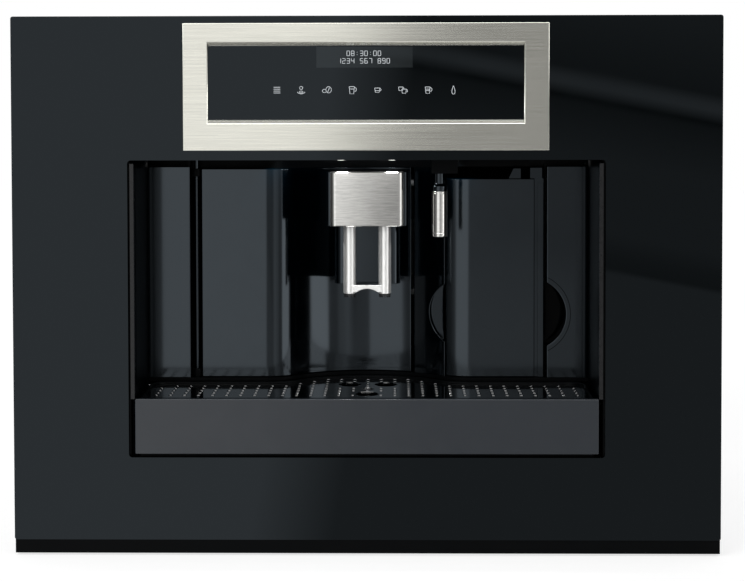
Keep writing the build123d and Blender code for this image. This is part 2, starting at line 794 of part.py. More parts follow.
def spout_carriage():
    """Black body of the spout: the head under the steel cover, the lower body behind the tubes,
    and the tongue that slides in the door."""
    inside = cover_half - cover_sheet - running_gap
    head_low, head_high = cover_low + 0.5, cover_high - cover_sheet - running_gap
    head_front = cover_front + cover_sheet + running_gap
    plan = Pos(0, (head_front + cover_back) / 2) * Rectangle(2 * inside, cover_back - head_front)
    front_corners = plan.vertices().sort_by(Axis.Y)[:2]
    plan = fillet(front_corners, cover_round - cover_sheet)
    body = raise_plan(plan, head_low, head_high)
    d0, d1 = spout_tube_depth + 9, hollow_depth - 14
    plan = Pos(0, (d0 + d1) / 2) * Rectangle(2 * spout_half, d1 - d0)
    plan = fillet(plan.vertices().sort_by(Axis.Y)[:2], spout_round)
    body += raise_plan(plan, spout_low, head_high)
    body += block(
        -12, 12, hollow_depth - 20, hollow_depth - 2,
        tongue_high - tongue_height - 8, tongue_high + 4,
    )
    d1 = hollow_depth + door_skin + running_gap
    body += block(
        -tongue_half, tongue_half, hollow_depth - 2, d1 + 1, tongue_high - tongue_height, tongue_high
    )
    keeper = block(
        -14, 14, d1, d1 + 2.5, tongue_high - tongue_height - 4, tongue_high + running_gap
    )
    body += keeper
    for x in (-spout_tube_x, spout_tube_x):
        body -= rod(x, spout_tube_depth, head_low - 1, head_low + 20, spout_tube_radius)
    return body


def spout_cover():
    """Brushed steel cover over the spout's head, open at the back and below."""
    outer = Pos(0, (cover_front + cover_back) / 2) * Rectangle(2 * cover_half, cover_back - cover_front)
    outer = fillet(outer.vertices().sort_by(Axis.Y)[:2], cover_round)
    half = cover_half - cover_sheet
    d0 = cover_front + cover_sheet
    inner = Pos(0, (d0 + cover_back + 1) / 2) * Rectangle(2 * half, cover_back + 1 - d0)
    inner = fillet(inner.vertices().sort_by(Axis.Y)[:2], cover_round - cover_sheet)
    cover = raise_plan(outer, cover_low, cover_high)
    return cover - raise_plan(inner, cover_low - 1, cover_high - cover_sheet)


def spout_tubes():
    """Two steel outlet tubes, joined near their ends by a bridge with an arched underside."""
    tubes = None
    for x in (-spout_tube_x, spout_tube_x):
        top = cover_low + 0.5 + 20
        tube = rod(x, spout_tube_depth, spout_tube_low, top, spout_tube_radius)
        tubes = tube if tubes is None else tubes + tube
    low, high = spout_tube_low + 1.2, spout_tube_low + 7.6
    bridge = panel(-spout_tube_x, spout_tube_x, low, high)
    arch = Pos(0, low - 12.4) * Circle(15.5)
    d0 = spout_tube_depth - spout_tube_radius
    tubes += push_back(bridge - arch, d0 + 0.6, d0 + 6)
    for x in (-spout_tube_x, spout_tube_x):
        bore = rod(x, spout_tube_depth, spout_tube_low - 1, cover_low + 40, spout_tube_radius - 1.2)
        tubes -= bore
    return tubes


def spout_nozzles():
    """Two black outlet nozzles with notched rims, pushed into the tubes."""
    nozzles = []
    for x in (-spout_tube_x, spout_tube_x):
        low = spout_tube_low - nozzle_length
        nozzle = rod(x, spout_tube_depth, low, spout_tube_low, spout_tube_radius - 0.6)
        nozzle += rod(
            x, spout_tube_depth, spout_tube_low, spout_tube_low + 10, spout_tube_radius - 1.2 - fit_gap
        )
        nozzle -= rod(x, spout_tube_depth, low - 1, spout_tube_low + 11, spout_tube_radius - 2.6)
        for index in range(5):
            notch = Rot(0, 0, 36 * index) * Box(2 * spout_tube_radius, 1.6, 3.0)
            nozzle -= Pos(x, at(spout_tube_depth), low) * notch
        nozzles.append(nozzle)
    return nozzles


save("service_door", service_door())
save("spout_carriage", spout_carriage())
save("spout_cover", spout_cover())
save("spout_tubes", spout_tubes())
save("spout_nozzles", *spout_nozzles())


# ---- Water tank ------------------------------------------------------------------------------------
body_line = -cover_thickness  # the tank's body lies this far behind the wall line
tank_body_top = tank_top - lid_thickness
socket_radius = 7.0
socket_depth = 12.0


def tank_plan(line, back, inset=0.0):
    """Plan of the tank's body behind a wall line, drawn in by inset at its sides."""
    plan = behind_wall(line, back)
    width = tank_right - tank_left - 2 * inset
    return plan & Pos(tank_middle, back / 2) * Rectangle(width, back)


def water_tank():
    """Open-topped tank with the strip beside its cover and the outlet socket in its rear wall."""
    tank = raise_plan(tank_plan(body_line, tank_back), panel_low, tank_body_top)
    inside = tank_plan(body_line - tank_wall, tank_back - tank_wall, tank_wall)
    front = wall_depth + cover_thickness
    tank += block(strip_left, tank_right, front - 2, front + 1, panel_low, tank_body_top)
    tank -= raise_plan(inside, panel_low + tank_wall, tank_body_top + 1)
    mouth = tank_back - socket_depth
    tank += rod_back(tank_middle, nozzle_height, mouth, tank_back, socket_radius)
    return tank - rod_back(
        tank_middle, nozzle_height, mouth + 2, tank_back + 1, nozzle_radius + fit_gap
    )


def tank_cover():
    """Gloss front cover of the tank, which carries on the curve of the wall."""
    cover = raise_plan(wall_band(0, cover_thickness), panel_low, tank_top)
    return cover & block(tank_left, cover_right, 0, hollow_depth, panel_low, tank_top)


def tank_lid():
    """Lid with a grip fin and an L-shaped lug at its front edge."""
    lid = raise_plan(tank_plan(body_line, tank_back), tank_body_top, tank_top)
    inside = tank_plan(body_line - tank_wall - running_gap, tank_back - tank_wall, tank_wall + running_gap)
    lid += raise_plan(inside, tank_body_top - 2, tank_body_top)
    front = wall_depth + cover_thickness
    fin = make_face(
        Polyline(
            (fin_left, tank_top), (fin_left + 4.3, fin_top), (fin_right, fin_top),
            (fin_right, tank_top), close=True,
        )
    )
    lug = Polyline(
        (lug_left, tank_top), (lug_left, lug_top), (lug_right, lug_top), (lug_right, tank_top),
        close=True,
    )
    lid += push_back(fin, front, front + 6)
    lid += push_back(make_face(lug), front, front + 6)
    return lid


def tank_seat():
    """Water outlet that the tank's socket is pushed onto, on the back wall of its bay."""
    seat = rod_back(tank_middle, nozzle_height, mouth_front, bay_rear + 8, nozzle_radius)
    seat += rod_back(tank_middle, nozzle_height, bay_back - 3, bay_back, 2 * nozzle_radius)
    return seat


fin_left = tank_right - 31.0
fin_right = fin_left + 10.7
fin_top = tank_top + 8.8
lug_left = tank_right - 11.8
lug_right = lug_left + 10.5
lug_top = tank_top + 9.4
mouth_front = tank_back - socket_depth + 4
save("water_tank", water_tank())
save("tank_cover", tank_cover())
save("tank_lid", tank_lid())
save("tank_seat", tank_seat())


# ---- Drip tray -------------------------------------------------------------------------------------
basin_half = tray_half - 3.6
basin_low = niche_floor + running_gap
grille_low = tray_top - grille_thickness
float_post = 13.0  # height of the post the float stands on, above the tray's floor
float_height = 10.0
float_radius = 12.0


def wall_line_depth(x, offset):
    """Depth of the wall line, moved forward by offset, at one X."""
    x = abs(x)
    convex, hollow = convex_radius + offset, hollow_radius - offset
    if x >= round_half:
        return wall_depth - offset
    if x >= round_half - convex * sin(turn):
        return wall_depth - offset + convex - (convex**2 - (round_half - x) ** 2) ** 0.5
    return hollow_depth - hollow_radius + (hollow**2 - x**2) ** 0.5


def tray_plan(inset):
    """Plan of the basin drawn in by inset, with its two rear corners rounded."""
    offset = rim_gap + inset
    plan = in_front_of_wall(offset, tray_front_thickness + inset, basin_half - inset)
    for side in (-1, 1):
        corner = (side * (basin_half - inset), wall_depth - offset)
        plan = fillet(plan.vertices().sort_by_distance(corner)[0], tray_corner - inset)
    return plan


def drip_tray():
    """Basin with a ledge for the grille, a raised lip at its rear and a post for the float."""
    tray = raise_plan(tray_plan(0), basin_low, tray_top + lip_height)
    ledge_inset = tray_wall + 2
    tray -= raise_plan(tray_plan(tray_wall), grille_low, tray_top + lip_height + 1)
    tray -= raise_plan(tray_plan(ledge_inset), grille_low - 3, grille_low + 1)
    tray -= raise_plan(tray_plan(tray_wall), basin_low + tray_floor, grille_low - 3)
    flat = wall_depth - rim_gap - tray_corner - 4
    tray -= block(-tray_half, tray_half, 0, flat, tray_top, tray_top + lip_height + 1)
    floor = basin_low + tray_floor
    return tray + rod(0, float_depth, floor, floor + float_post, 3)


def tray_front():
    """Front of the tray."""
    plan = Pos(0, tray_front_thickness / 2) * Rectangle(2 * tray_half, tray_front_thickness)
    plan = fillet(plan.vertices().sort_by(Axis.Y)[:2], 1.0)
    return raise_plan(plan, tray_low, tray_top)


def hole_rows():
    """Centres of the grille's small holes, on a square pitch, clear of the big ones."""
    columns = int((basin_half - tray_corner / 2) // hole_pitch)
    rows = int((last_row - first_row) // hole_pitch) + 1
    for row in range(rows):
        depth = first_row + row * hole_pitch
        for column in range(-columns, columns + 1):
            x = column * hole_pitch
            edge = rim_gap + tray_wall + running_gap + hole_edge
            near_end = abs(x) > basin_half - tray_corner and row > 3
            clear = all((x - bx) ** 2 + (depth - bd) ** 2 > (br + 4) ** 2 for bx, bd, br in big_holes)
            if depth <= wall_line_depth(x, edge) + 1 and clear and not near_end:
                yield x, depth


big_holes = (
    (0.0, 27.4, big_hole_radius),
    (-16.0, 78.0, big_hole_radius),
    (16.0, 78.0, big_hole_radius),
    (0.0, float_depth, float_hole_radius),
)


def cup_grille():
    """Flat grille with rows of small holes and three drain holes round the float's hole."""
    plan = tray_plan(tray_wall + running_gap)
    holes = [Pos(x, depth) * Circle(hole_radius) for x, depth in hole_rows()]
    holes += [Pos(x, depth) * Circle(radius) for x, depth, radius in big_holes]
    return raise_plan(plan - holes, grille_low, tray_top)


def level_float():
    """Float whose stem rises through the grille when the tray is full."""
    low = basin_low + tray_floor + float_post
    disc = rod(0, float_depth, low, low + float_height, float_radius)
    stem_radius = float_hole_radius - running_gap
    return disc + rod(0, float_depth, low + float_height, tray_top - 0.6, stem_radius)


save("drip_tray", drip_tray())
save("tray_front", tray_front())
save("cup_grille", cup_grille())
save("level_float", level_float())


# ---- Hot-water spout -------------------------------------------------------------------------------
def hot_water_spout():
    """Plug-in spout: plug, neck and collar, and the inner pipe inside the steel sleeve."""
    spout = rod(hot_x, hot_depth, block_low, block_low + plug_length, plug_radius)
    spout += rod(hot_x, hot_depth, collar_high, block_low, neck_radius)
    spout += rod(hot_x, hot_depth, sleeve_high, collar_high, sleeve_radius)
    spout += rod(hot_x, hot_depth, sleeve_low + 1.5, sleeve_high, sleeve_radius - 1.3)
    return spout - rod(hot_x, hot_depth, sleeve_low, sleeve_low + 12, 2.5)


def spout_sleeve():
    """Brushed steel sleeve on the hot-water spout."""
    sleeve = rod(hot_x, hot_depth, sleeve_low, sleeve_high, sleeve_radius)
    return sleeve - rod(hot_x, hot_depth, sleeve_low - 1, sleeve_high + 1, sleeve_radius - 1.3 + fit_gap)


save("hot_water_spout", hot_water_spout())
save("spout_sleeve", spout_sleeve())


# ---- Grinder, hopper and lids ----------------------------------------------------------------------
chamber_floor = grinder_low + 12
burr_low = chamber_floor + 4
burr_high = burr_low + 16
ring_radius = burr_radius + 4.5
hub_radius = 6.0
knob_stem = 4.0
hopper_top = body_top - sheet - running_gap
throat_half = 24.0
lid_low = body_top + running_gap
pin_height = lid_low + lid_sheet
bean_hinge_depth = top_opening_back + 10
funnel_hinge_depth = funnel_depth + funnel_half + 8


def grinder_housing():
    """Burr chamber with a bearing bore in its floor and a duct down to the brewing chamber."""
    housing = rod(brew_x, grinder_depth, grinder_low, grinder_high, grinder_radius)
    duct = make_face(
        Polyline(
            (grinder_depth - 20, grinder_low), (grinder_depth - 20, chute_low + 21),
            (brew_back - 10, chute_low + 19), (brew_back - 32, chute_low + 8),
            (brew_back - 32, chute_low), (brew_back - 12, chute_low),
            (bay_rear + 2, grinder_low), close=True,
        )
    )
    passage = make_face(
        Polyline(
            (grinder_depth - 18, chamber_floor - 6), (grinder_depth - 18, chute_low + 18),
            (brew_back - 10, chute_low + 16), (brew_back - 29, chute_low + 6),
            (brew_back - 29, chute_low - 1), (brew_back - 15, chute_low - 1),
            (bay_rear, chamber_floor - 9), close=True,
        )
    )
    housing += slide_across(duct, brew_x - chute_half, brew_x + chute_half)
    housing -= slide_across(passage, brew_x - chute_half + 2, brew_x + chute_half - 2)
    housing -= rod(brew_x, grinder_depth, chamber_floor, grinder_high + 1, ring_radius)
    bore = burr_shaft_radius + fit_gap
    return housing - rod(brew_x, grinder_depth, grinder_low - 1, grinder_high, bore)


def grinder_motor():
    """Motor under the grinder, with a socket that takes the burr's shaft."""
    motor = rod(brew_x, grinder_depth, motor_low, grinder_low, motor_radius)
    motor += rod(brew_x, grinder_depth, motor_low - 10, motor_low, 9)
    bore = burr_shaft_radius + fit_gap
    return motor - rod(brew_x, grinder_depth, grinder_low - 24, grinder_low + 1, bore)


def lower_burr():
    """Toothed cone burr on its shaft."""
    shaft = rod(brew_x, grinder_depth, grinder_low - 22, burr_low, burr_shaft_radius)
    cone = Pos(brew_x, at(grinder_depth), (burr_low + burr_high) / 2) * Cone(
        burr_radius - running_gap, burr_radius - 12, burr_high - burr_low
    )
    return shaft + cone


def upper_burr():
    """Ring burr, and the spider whose hub takes the adjusting knob's stem."""
    ring = rod(brew_x, grinder_depth, burr_low, burr_high + 4, ring_radius - fit_gap)
    height = burr_high - burr_low
    ring -= Pos(brew_x, at(grinder_depth), (burr_low + burr_high) / 2) * Cone(
        burr_radius + running_gap, burr_radius - 12 + 2 * running_gap, height
    )
    ring -= rod(brew_x, grinder_depth, burr_high, burr_high + 5, ring_radius - 4)
    arms = None
    for angle in (0, 60, 120):
        arm = Pos(brew_x, at(grinder_depth), burr_high + 2.5) * Rot(0, 0, angle) * Box(
            2 * ring_radius - 3, 4, 3
        )
        arms = arm if arms is None else arms + arm
    arms += rod(brew_x, grinder_depth, burr_high + 1, burr_high + 10, hub_radius + 2)
    ring += arms
    return ring - rod(brew_x, grinder_depth, burr_high + 2.5, burr_high + 12, knob_stem + fit_gap)


def grind_knob():
    """Grinding-degree knob in the bean hopper, with a stem down to the upper burr."""
    knob = rod(brew_x, grinder_depth, knob_low, knob_high, knob_radius)
    for index in range(12):
        flute = Rot(0, 0, 30 * index) * Pos(knob_radius + 1, 0, 0) * Cylinder(2.4, knob_high - knob_low - 4)
        knob -= Pos(brew_x, at(grinder_depth), (knob_low + knob_high) / 2) * flute
    return knob + rod(brew_x, grinder_depth, burr_high + 3, knob_low, knob_stem)


def bean_hopper():
    """Open hopper: a deep bin whose floor slopes to the grinder's mouth."""
    centre_depth = (hopper_front + hopper_back) / 2

    def bin_shape(wall):
        width = 2 * (hopper_half - wall)
        length = hopper_back - hopper_front - 2 * wall
        shoulder = hopper_shoulder + wall / 2
        top = Pos(hopper_x, at(centre_depth), shoulder) * Rectangle(width, length)
        mouth = 2 * (throat_half + hopper_wall - wall)
        low = Pos(brew_x, at(grinder_depth), grinder_high) * Rectangle(mouth, mouth)
        slope = loft([low, top], ruled=True)
        height = hopper_top - shoulder + (1 if wall else 0)
        return slope + extrude(top, height)

    return bin_shape(0) - bin_shape(hopper_wall)


def coffee_funnel():
    """Funnel for ready-ground coffee, from the top cover to the brewing chamber."""
    top_z, mid_z, low_z = hopper_top, hopper_top - 40, brew_high + 3

    def tube(wall):
        top = Pos(funnel_x, at(funnel_depth), top_z) * Rectangle(
            2 * (funnel_half - wall), 2 * (funnel_half - wall)
        )
        middle = Pos(funnel_x, at(funnel_depth), mid_z) * Rectangle(
            2 * (funnel_throat - wall), 2 * (funnel_throat - wall)
        )
        drop = mid_z - low_z + (1 if wall else 0)
        return loft([middle, top], ruled=True) + extrude(middle, -drop)

    return tube(0) - tube(2)


def flap(middle, half, front, pin_depth):
    """Flap over an opening in the top cover, with two knuckles on the hinge pin at its rear."""
    plan = Pos(middle, (front + pin_depth) / 2) * Rectangle(2 * half, pin_depth - front)
    plan = fillet(plan.vertices().sort_by(Axis.Y)[:2], 6)
    lid = raise_plan(plan, lid_low, lid_low + lid_sheet)
    lid -= block(
        middle - half - 1, middle + half + 1, pin_depth - 4, pin_depth + 1, lid_low - 1, lid_low + 9
    )
    for side in (-1, 1):
        x0, x1 = sorted((middle + side * (half - 16), middle + side * (half - 6)))
        lid += rod_across(pin_depth, pin_height, x0, x1, lid_sheet)
        lid += block(x0, x1, pin_depth - 5, pin_depth, lid_low, lid_low + lid_sheet)
    return lid - rod_across(
        pin_depth, pin_height, middle - half, middle + half, hinge_pin_radius + fit_gap
    )


def flap_hinge(middle, half, pin_depth):
    """Hinge pin of one flap in its two ears on the top cover."""
    hinge = rod_across(pin_depth, pin_height, middle - half + 1, middle + half - 1, hinge_pin_radius)
    for side in (-1, 1):
        x0, x1 = sorted((middle + side * (half - 5), middle + side * (half - 1)))
        hinge += block(x0, x1, pin_depth - 3, pin_depth + 3, body_top, pin_height + 2.5)
    return hinge


bean_half = top_opening_half + 5
cup_half = funnel_half + 3
save("grinder_housing", grinder_housing())
save("grinder_motor", grinder_motor())
save("lower_burr", lower_burr())
save("upper_burr", upper_burr())
save("grind_knob", grind_knob())
save("bean_hopper", bean_hopper())
save("coffee_funnel", coffee_funnel())
save("bean_lid", flap(hopper_x, bean_half, top_opening_front - 5, bean_hinge_depth))
save("funnel_lid", flap(funnel_x, cup_half, funnel_depth - funnel_half - 3, funnel_hinge_depth))
save(
    "lid_hinges",
    flap_hinge(hopper_x, bean_half, bean_hinge_depth),
    flap_hinge(funnel_x, cup_half, funnel_hinge_depth),
)


# ---- Brewing, heating and power --------------------------------------------------------------------
chamber_low = brew_low + brew_wall + 14
chamber_high = brew_high - 14
piston_low = chamber_low + 6
rod_radius = 6.0


def brew_frame():
    """Brewing unit: an open-fronted frame that holds the upright brewing chamber."""
    right = divider_right - bay_sheet
    left = brew_x - brew_half
    wall = brew_wall
    frame = block(left, right, brew_front, brew_back, brew_low, brew_high)
    frame -= block(
        left + wall, right - wall, brew_front - 1, brew_back - wall, brew_low + wall, brew_high - wall
    )
    bracket_low = (chamber_low + chamber_high) / 2
    frame += block(
        left, right, brew_depth + 8, brew_depth + 24, bracket_low - 8, bracket_low + 8
    )
    frame += rod(brew_x, brew_depth, chamber_low, chamber_high, chamber_radius + chamber_wall)
    frame -= rod(brew_x, brew_depth, chamber_low - 1, chamber_high + 1, chamber_radius + fit_gap)
    frame -= rod(brew_x, brew_depth, brew_low - 1, chamber_low, rod_radius + running_gap)
    inlet = funnel_throat + 2
    frame -= block(
        funnel_x - inlet, funnel_x + inlet, funnel_depth - inlet, funnel_depth + inlet,
        brew_high - wall - 1, brew_high + 1,
    )
    return frame - block(
        brew_x - chute_half, brew_x + chute_half, brew_back - 34, brew_back - 10,
        brew_high - wall - 1, brew_high + 1,
    )


def brew_piston():
    """Piston of the brewing chamber on its rod."""
    piston = rod(brew_x, brew_depth, piston_low, piston_low + piston_height, chamber_radius)
    return piston + rod(brew_x, brew_depth, brew_low, piston_low, rod_radius)


def grounds_box():
    """Open box that catches the used coffee, on the deck under the brewing unit."""
    low = deck_top + running_gap
    box = block(grounds_left, grounds_right, grounds_front, bay_back - 8, low, grounds_high)
    wall = 2.5
    return box - block(
        grounds_left + wall, grounds_right - wall, grounds_front + wall, bay_back - 8 - wall,
        low + wall, grounds_high + 1,
    )


def thermoblock():
    """Cast heater with cooling fins, on two brackets from the back wall."""
    d0, d1 = pump_depth - 26, pump_depth + 20
    heater = block(heater_x - heater_half, heater_x + heater_half, d0, d1, heater_low, heater_high)
    for index in range(6):
        z = heater_low + 10 + index * 14
        heater -= block(heater_x - heater_half - 1, heater_x + heater_half + 1, d1 - 6, d1 + 1, z, z + 7)
    for x in (heater_x - 20, heater_x + 12):
        heater += block(x, x + 8, bay_rear, d0, heater_low + 20, heater_high - 20)
    return heater


def solenoid_valve():
    """Valve on the side of the heater: a body and its coil."""
    x0 = heater_x + heater_half
    middle = (heater_low + heater_high) / 2
    valve = block(x0, x0 + 10, pump_depth - 9, pump_depth + 9, middle - 9, middle + 9)
    return valve + rod_across(pump_depth, middle, x0 + 10, x0 + 34, 14)


def water_pump():
    """Vibration pump lying across the machine, with its two spigots."""
    pump = rod_across(pump_depth, pump_height, pump_x - pump_half, pump_x + pump_half, pump_radius)
    return pump + rod_across(
        pump_depth, pump_height, pump_x - pump_half - 14, pump_x + pump_half + 14, hose_radius
    )


def pump_mounts():
    """Two rubber mounts that carry the pump on the carcass floor."""
    mounts = []
    for x in (pump_x - pump_half + 8, pump_x + pump_half - 8):
        mount = block(
            x - 5, x + 5, pump_depth - 18, pump_depth + 18, floor_height + sheet, pump_height + 4
        )
        mounts.append(mount - rod_across(pump_depth, pump_height, x - 6, x + 6, pump_radius + fit_gap))
    return mounts


def power_board():
    """Power board on four posts above the ceiling, with transformer, relays and heat sink."""
    x0, x1, d0, d1 = board_left, board_left + board_width, board_front, board_front + board_length
    z0 = liner_high + 6
    board = block(x0, x1, d0, d1, z0, z0 + 1.6)
    for x in (x0 + 6, x1 - 6):
        for depth in (d0 + 6, d1 - 6):
            board += block(x - 3, x + 3, depth - 3, depth + 3, liner_high, z0)
    z1 = z0 + 1.6
    board += block(x0 + 12, x0 + 52, d0 + 14, d0 + 58, z1, z1 + 34)
    board += block(x1 - 34, x1 - 8, d1 - 76, d1 - 14, z1, z1 + 26)
    for index in range(4):
        depth = d0 + 74 + 20 * index
        board += block(x0 + 14, x0 + 42, depth, depth + 14, z1, z1 + 16)
    return board


def hose(*route, bend=14.0):
    """Hose along straight runs and tangent arcs, given as points in X, depth and height."""
    points = [(x, at(depth), z) for x, depth, z in route]
    path = FilletPolyline(*points, radius=bend)
    start = Plane(origin=path @ 0, z_dir=path % 0)
    return sweep(start * Circle(hose_radius), path)


def water_hoses():
    """Tank to pump, pump to heater, and heater to the hot-water outlet."""
    pump_left, pump_right = pump_x - pump_half - 14, pump_x + pump_half + 14
    behind_seat = bay_rear + 8
    left, right = pump_left - 18, pump_right + 18
    below = heater_low - 24
    above = liner_high + 14
    suction = hose(
        (tank_middle, behind_seat, nozzle_height), (tank_middle, pump_depth, nozzle_height),
        (left, pump_depth, nozzle_height), (left, pump_depth, pump_height),
        (pump_left, pump_depth, pump_height),
    )
    pressure = hose(
        (pump_right, pump_depth, pump_height), (right, pump_depth, pump_height),
        (right, pump_depth, below), (heater_x + 14, pump_depth, below),
        (heater_x + 14, pump_depth, heater_low),
    )
    outlet = hose(
        (heater_x, pump_depth, heater_high), (heater_x, pump_depth, above),
        (hot_x, pump_depth, above), (hot_x, hot_depth, above), (hot_x, hot_depth, ceiling),
    )
    return suction, pressure, outlet


def cover_screws():
    """Heads of the screws that hold the top cover to the side panels."""
    heads = []
    for x in (-body_half + screw_inset, body_half - screw_inset):
        for index in range(4):
            depth = carcass_front + 38 + index * screw_pitch
            heads.append(rod(x, depth, body_top, body_top + screw_head / 4, screw_head / 2))
    return heads


board_left = 76.0
board_width = 124.0
board_front = 70.0
board_length = 166.0
screw_inset = 9.0
screw_head = 7.2
screw_pitch = (panel_back - carcass_front - 82.8) / 3
save("brew_frame", brew_frame())
save("brew_piston", brew_piston())
save("grounds_box", grounds_box())
save("thermoblock", thermoblock())
save("solenoid_valve", solenoid_valve())
save("water_pump", water_pump(), *pump_mounts())
save("power_board", power_board())
save("water_hoses", *water_hoses())
save("cover_screws", *cover_screws())
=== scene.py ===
# %% [markdown]
# # A built-in coffee machine
# The machine's real sizes come packed as a set of CAD nodes, one for each piece, which already move
# on their joints. This lesson gives every node its finish, and replaces the pieces whose soft edges
# and smooth curves catch the light with finer surfaces worked out in numpy. Everything is in
# metres, in the same frame as the CAD: +Z is up, the front faces -Y, and +X is the viewer's right.

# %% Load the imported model
import json
from math import atan2, cos, pi, radians, sin, sqrt

import bmesh
import bpy
import numpy as np
from mathutils import Matrix, Vector


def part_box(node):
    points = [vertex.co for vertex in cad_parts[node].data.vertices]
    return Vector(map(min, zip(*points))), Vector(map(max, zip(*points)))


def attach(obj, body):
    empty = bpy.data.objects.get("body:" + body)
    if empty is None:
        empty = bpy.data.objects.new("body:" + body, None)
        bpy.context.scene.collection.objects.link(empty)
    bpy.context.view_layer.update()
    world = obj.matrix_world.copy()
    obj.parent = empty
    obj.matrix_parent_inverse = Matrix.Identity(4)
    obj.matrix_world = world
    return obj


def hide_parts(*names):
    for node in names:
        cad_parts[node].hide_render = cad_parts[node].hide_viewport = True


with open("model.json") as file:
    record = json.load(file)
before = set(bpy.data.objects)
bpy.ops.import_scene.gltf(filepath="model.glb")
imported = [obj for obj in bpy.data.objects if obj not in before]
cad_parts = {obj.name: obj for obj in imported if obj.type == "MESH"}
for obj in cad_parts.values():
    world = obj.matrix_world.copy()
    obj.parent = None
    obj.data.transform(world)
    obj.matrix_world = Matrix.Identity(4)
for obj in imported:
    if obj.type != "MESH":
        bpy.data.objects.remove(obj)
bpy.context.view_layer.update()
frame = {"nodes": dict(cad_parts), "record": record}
scene = bpy.context.scene
scene.view_settings.view_transform = "Standard"

# %% [markdown]
# ## Measures
# Sizes are given in millimetres, as a maker would read them off a drawing. Most places are a depth
# behind the face of the glass, because that face is what the eye meets first, and the glass node
# itself says where it is. place() turns X, depth and height into metres, for one point or a grid.

# %% Measures
MM = 0.001
glass_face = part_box("fascia_glass")[0].y


def mm(values):
    """Millimetres to metres, for a number or a whole array."""
    return np.asarray(values, float) * MM


def place(x, depth, z):
    """Points in metres from X, depth behind the glass and height, all in millimetres. Each is a
    number or an array, and they broadcast together."""
    return np.stack(np.broadcast_arrays(mm(x), glass_face + mm(depth), mm(z)), axis=-1)


print("face of the glass at y =", round(glass_face, 4))

# %% [markdown]
# ## Camera
# The photograph is a catalogue view, square on: upright edges stay upright and the far ends of the
# niche shrink evenly. The spacing of the grille's holes says how far the eye was, about 1.4 m. A
# lens shift keeps the uprights parallel while the eye sits near the height of the control panel,
# and a small downward pitch shares that work, so that the other views, which keep the shift, stay
# framed.

# %% Camera
IMAGE_WIDTH, FOCAL_PIXELS, SENSOR_MM = 745, 1707.8, 36.0
SHIFT_X, SHIFT_Y = 0.0080, -0.167
eye = Vector((0.0234, -1.632, 0.380))
pitch, yaw, roll = radians(-2.0), radians(-0.917), radians(-0.108)

lens = bpy.data.cameras.new("camera")
lens.sensor_width = SENSOR_MM
lens.lens = FOCAL_PIXELS / IMAGE_WIDTH * SENSOR_MM
lens.shift_x, lens.shift_y = SHIFT_X, SHIFT_Y
camera = bpy.data.objects.new("camera", lens)
scene.collection.objects.link(camera)
forward = Vector((sin(yaw) * cos(pitch), cos(yaw) * cos(pitch), sin(pitch)))
level = Vector((cos(yaw), -sin(yaw), 0.0))
upward = level.cross(forward)
right = level * cos(roll) + upward * sin(roll)
top = upward * cos(roll) - level * sin(roll)
turn = Matrix((right, top, -forward)).transposed()
camera.matrix_world = Matrix.Translation(eye) @ turn.to_4x4()
scene.camera = camera
print("lens", round(lens.lens, 2), "mm")

# %% [markdown]
# ## Nodes for shaders
# Every finish below is a small tree of shader nodes. One helper adds a node, sets its own
# properties and fills its sockets: a socket gets a value, an output of an earlier node, or that
# node's first output. Another turns the hex colours that designers write, which are sRGB, into
# linear light.

# %% Shader helpers
WHITE = (1.0, 1.0, 1.0, 1.0)


def grey(level):
    """Colour of one level in all channels."""
    return (level, level, level, 1.0)


def linear(colour):
    """Hex sRGB such as 'd8d9d2' to linear RGBA, by the standard's two-part curve."""
    srgb = np.array([int(colour[i : i + 2], 16) for i in (0, 2, 4)]) / 255
    light = np.where(srgb <= 0.04045, srgb / 12.92, ((srgb + 0.055) / 1.055) ** 2.4)
    return (*light, 1.0)


def plug(source, socket):
    """Fills a socket with a value, an output, or the first output of a node."""
    if isinstance(source, bpy.types.Node):
        source = source.outputs[0]
    if isinstance(source, bpy.types.NodeSocket):
        socket.id_data.links.new(source, socket)
    else:
        socket.default_value = source


def add(tree, kind, sockets=None, **settings):
    """Adds a node. settings are its properties, and sockets maps a name or number to its
    filling."""
    made = tree.nodes.new("ShaderNode" + kind)
    for name, value in settings.items():
        setattr(made, name, value)
    for name, value in (sockets or {}).items():
        plug(value, made.inputs[name])
    return made


def ramp(tree, source, stops, low=0.0, high=1.0):
    """Colour ramp. stops are pairs of a spot from low to high and a grey level or a colour."""
    node = add(tree, "ValToRGB", {"Fac": source})
    bar = node.color_ramp.elements
    while len(bar) < len(stops):
        bar.new(0.5)
    for element, (spot, level) in zip(bar, stops):
        element.position = (spot - low) / (high - low)
        element.color = level if isinstance(level, tuple) else grey(level)
    return node


print("black reads", [round(v, 4) for v in linear("0a0c0e")[:3]])

# %% [markdown]
# ## Studio
# A glossy black object has almost no colour of its own: what the eye reads is the room in it. In
# the photograph a bright wall stands to the left of the camera and the right half of the room is
# dark, with a pale stripe and a softer field below it. A world shader can be exactly that room: it
# is asked for the light that arrives from a direction, so the panels are written as angles seen
# from the machine. Diffuse light stays an even, plain level, and whatever looks past the machine
# sees white.

# %% Room light by direction
world = bpy.data.worlds.new("studio")
scene.world = world
world.use_nodes = True
room = world.node_tree
room.nodes.clear()
direction = add(room, "TexCoord").outputs["Generated"]
axes = add(room, "SeparateXYZ", {0: direction}).outputs
toward_camera = add(room, "Math", {0: axes["Y"], 1: -1.0}, operation="MULTIPLY")
bearing = add(room, "Math", {0: axes["X"], 1: toward_camera}, operation="ARCTAN2")
along = add(room, "Math", {0: toward_camera, 1: 0.02}, operation="MAXIMUM")
rise = add(room, "Math", {0: axes["Z"], 1: along}, operation="DIVIDE")

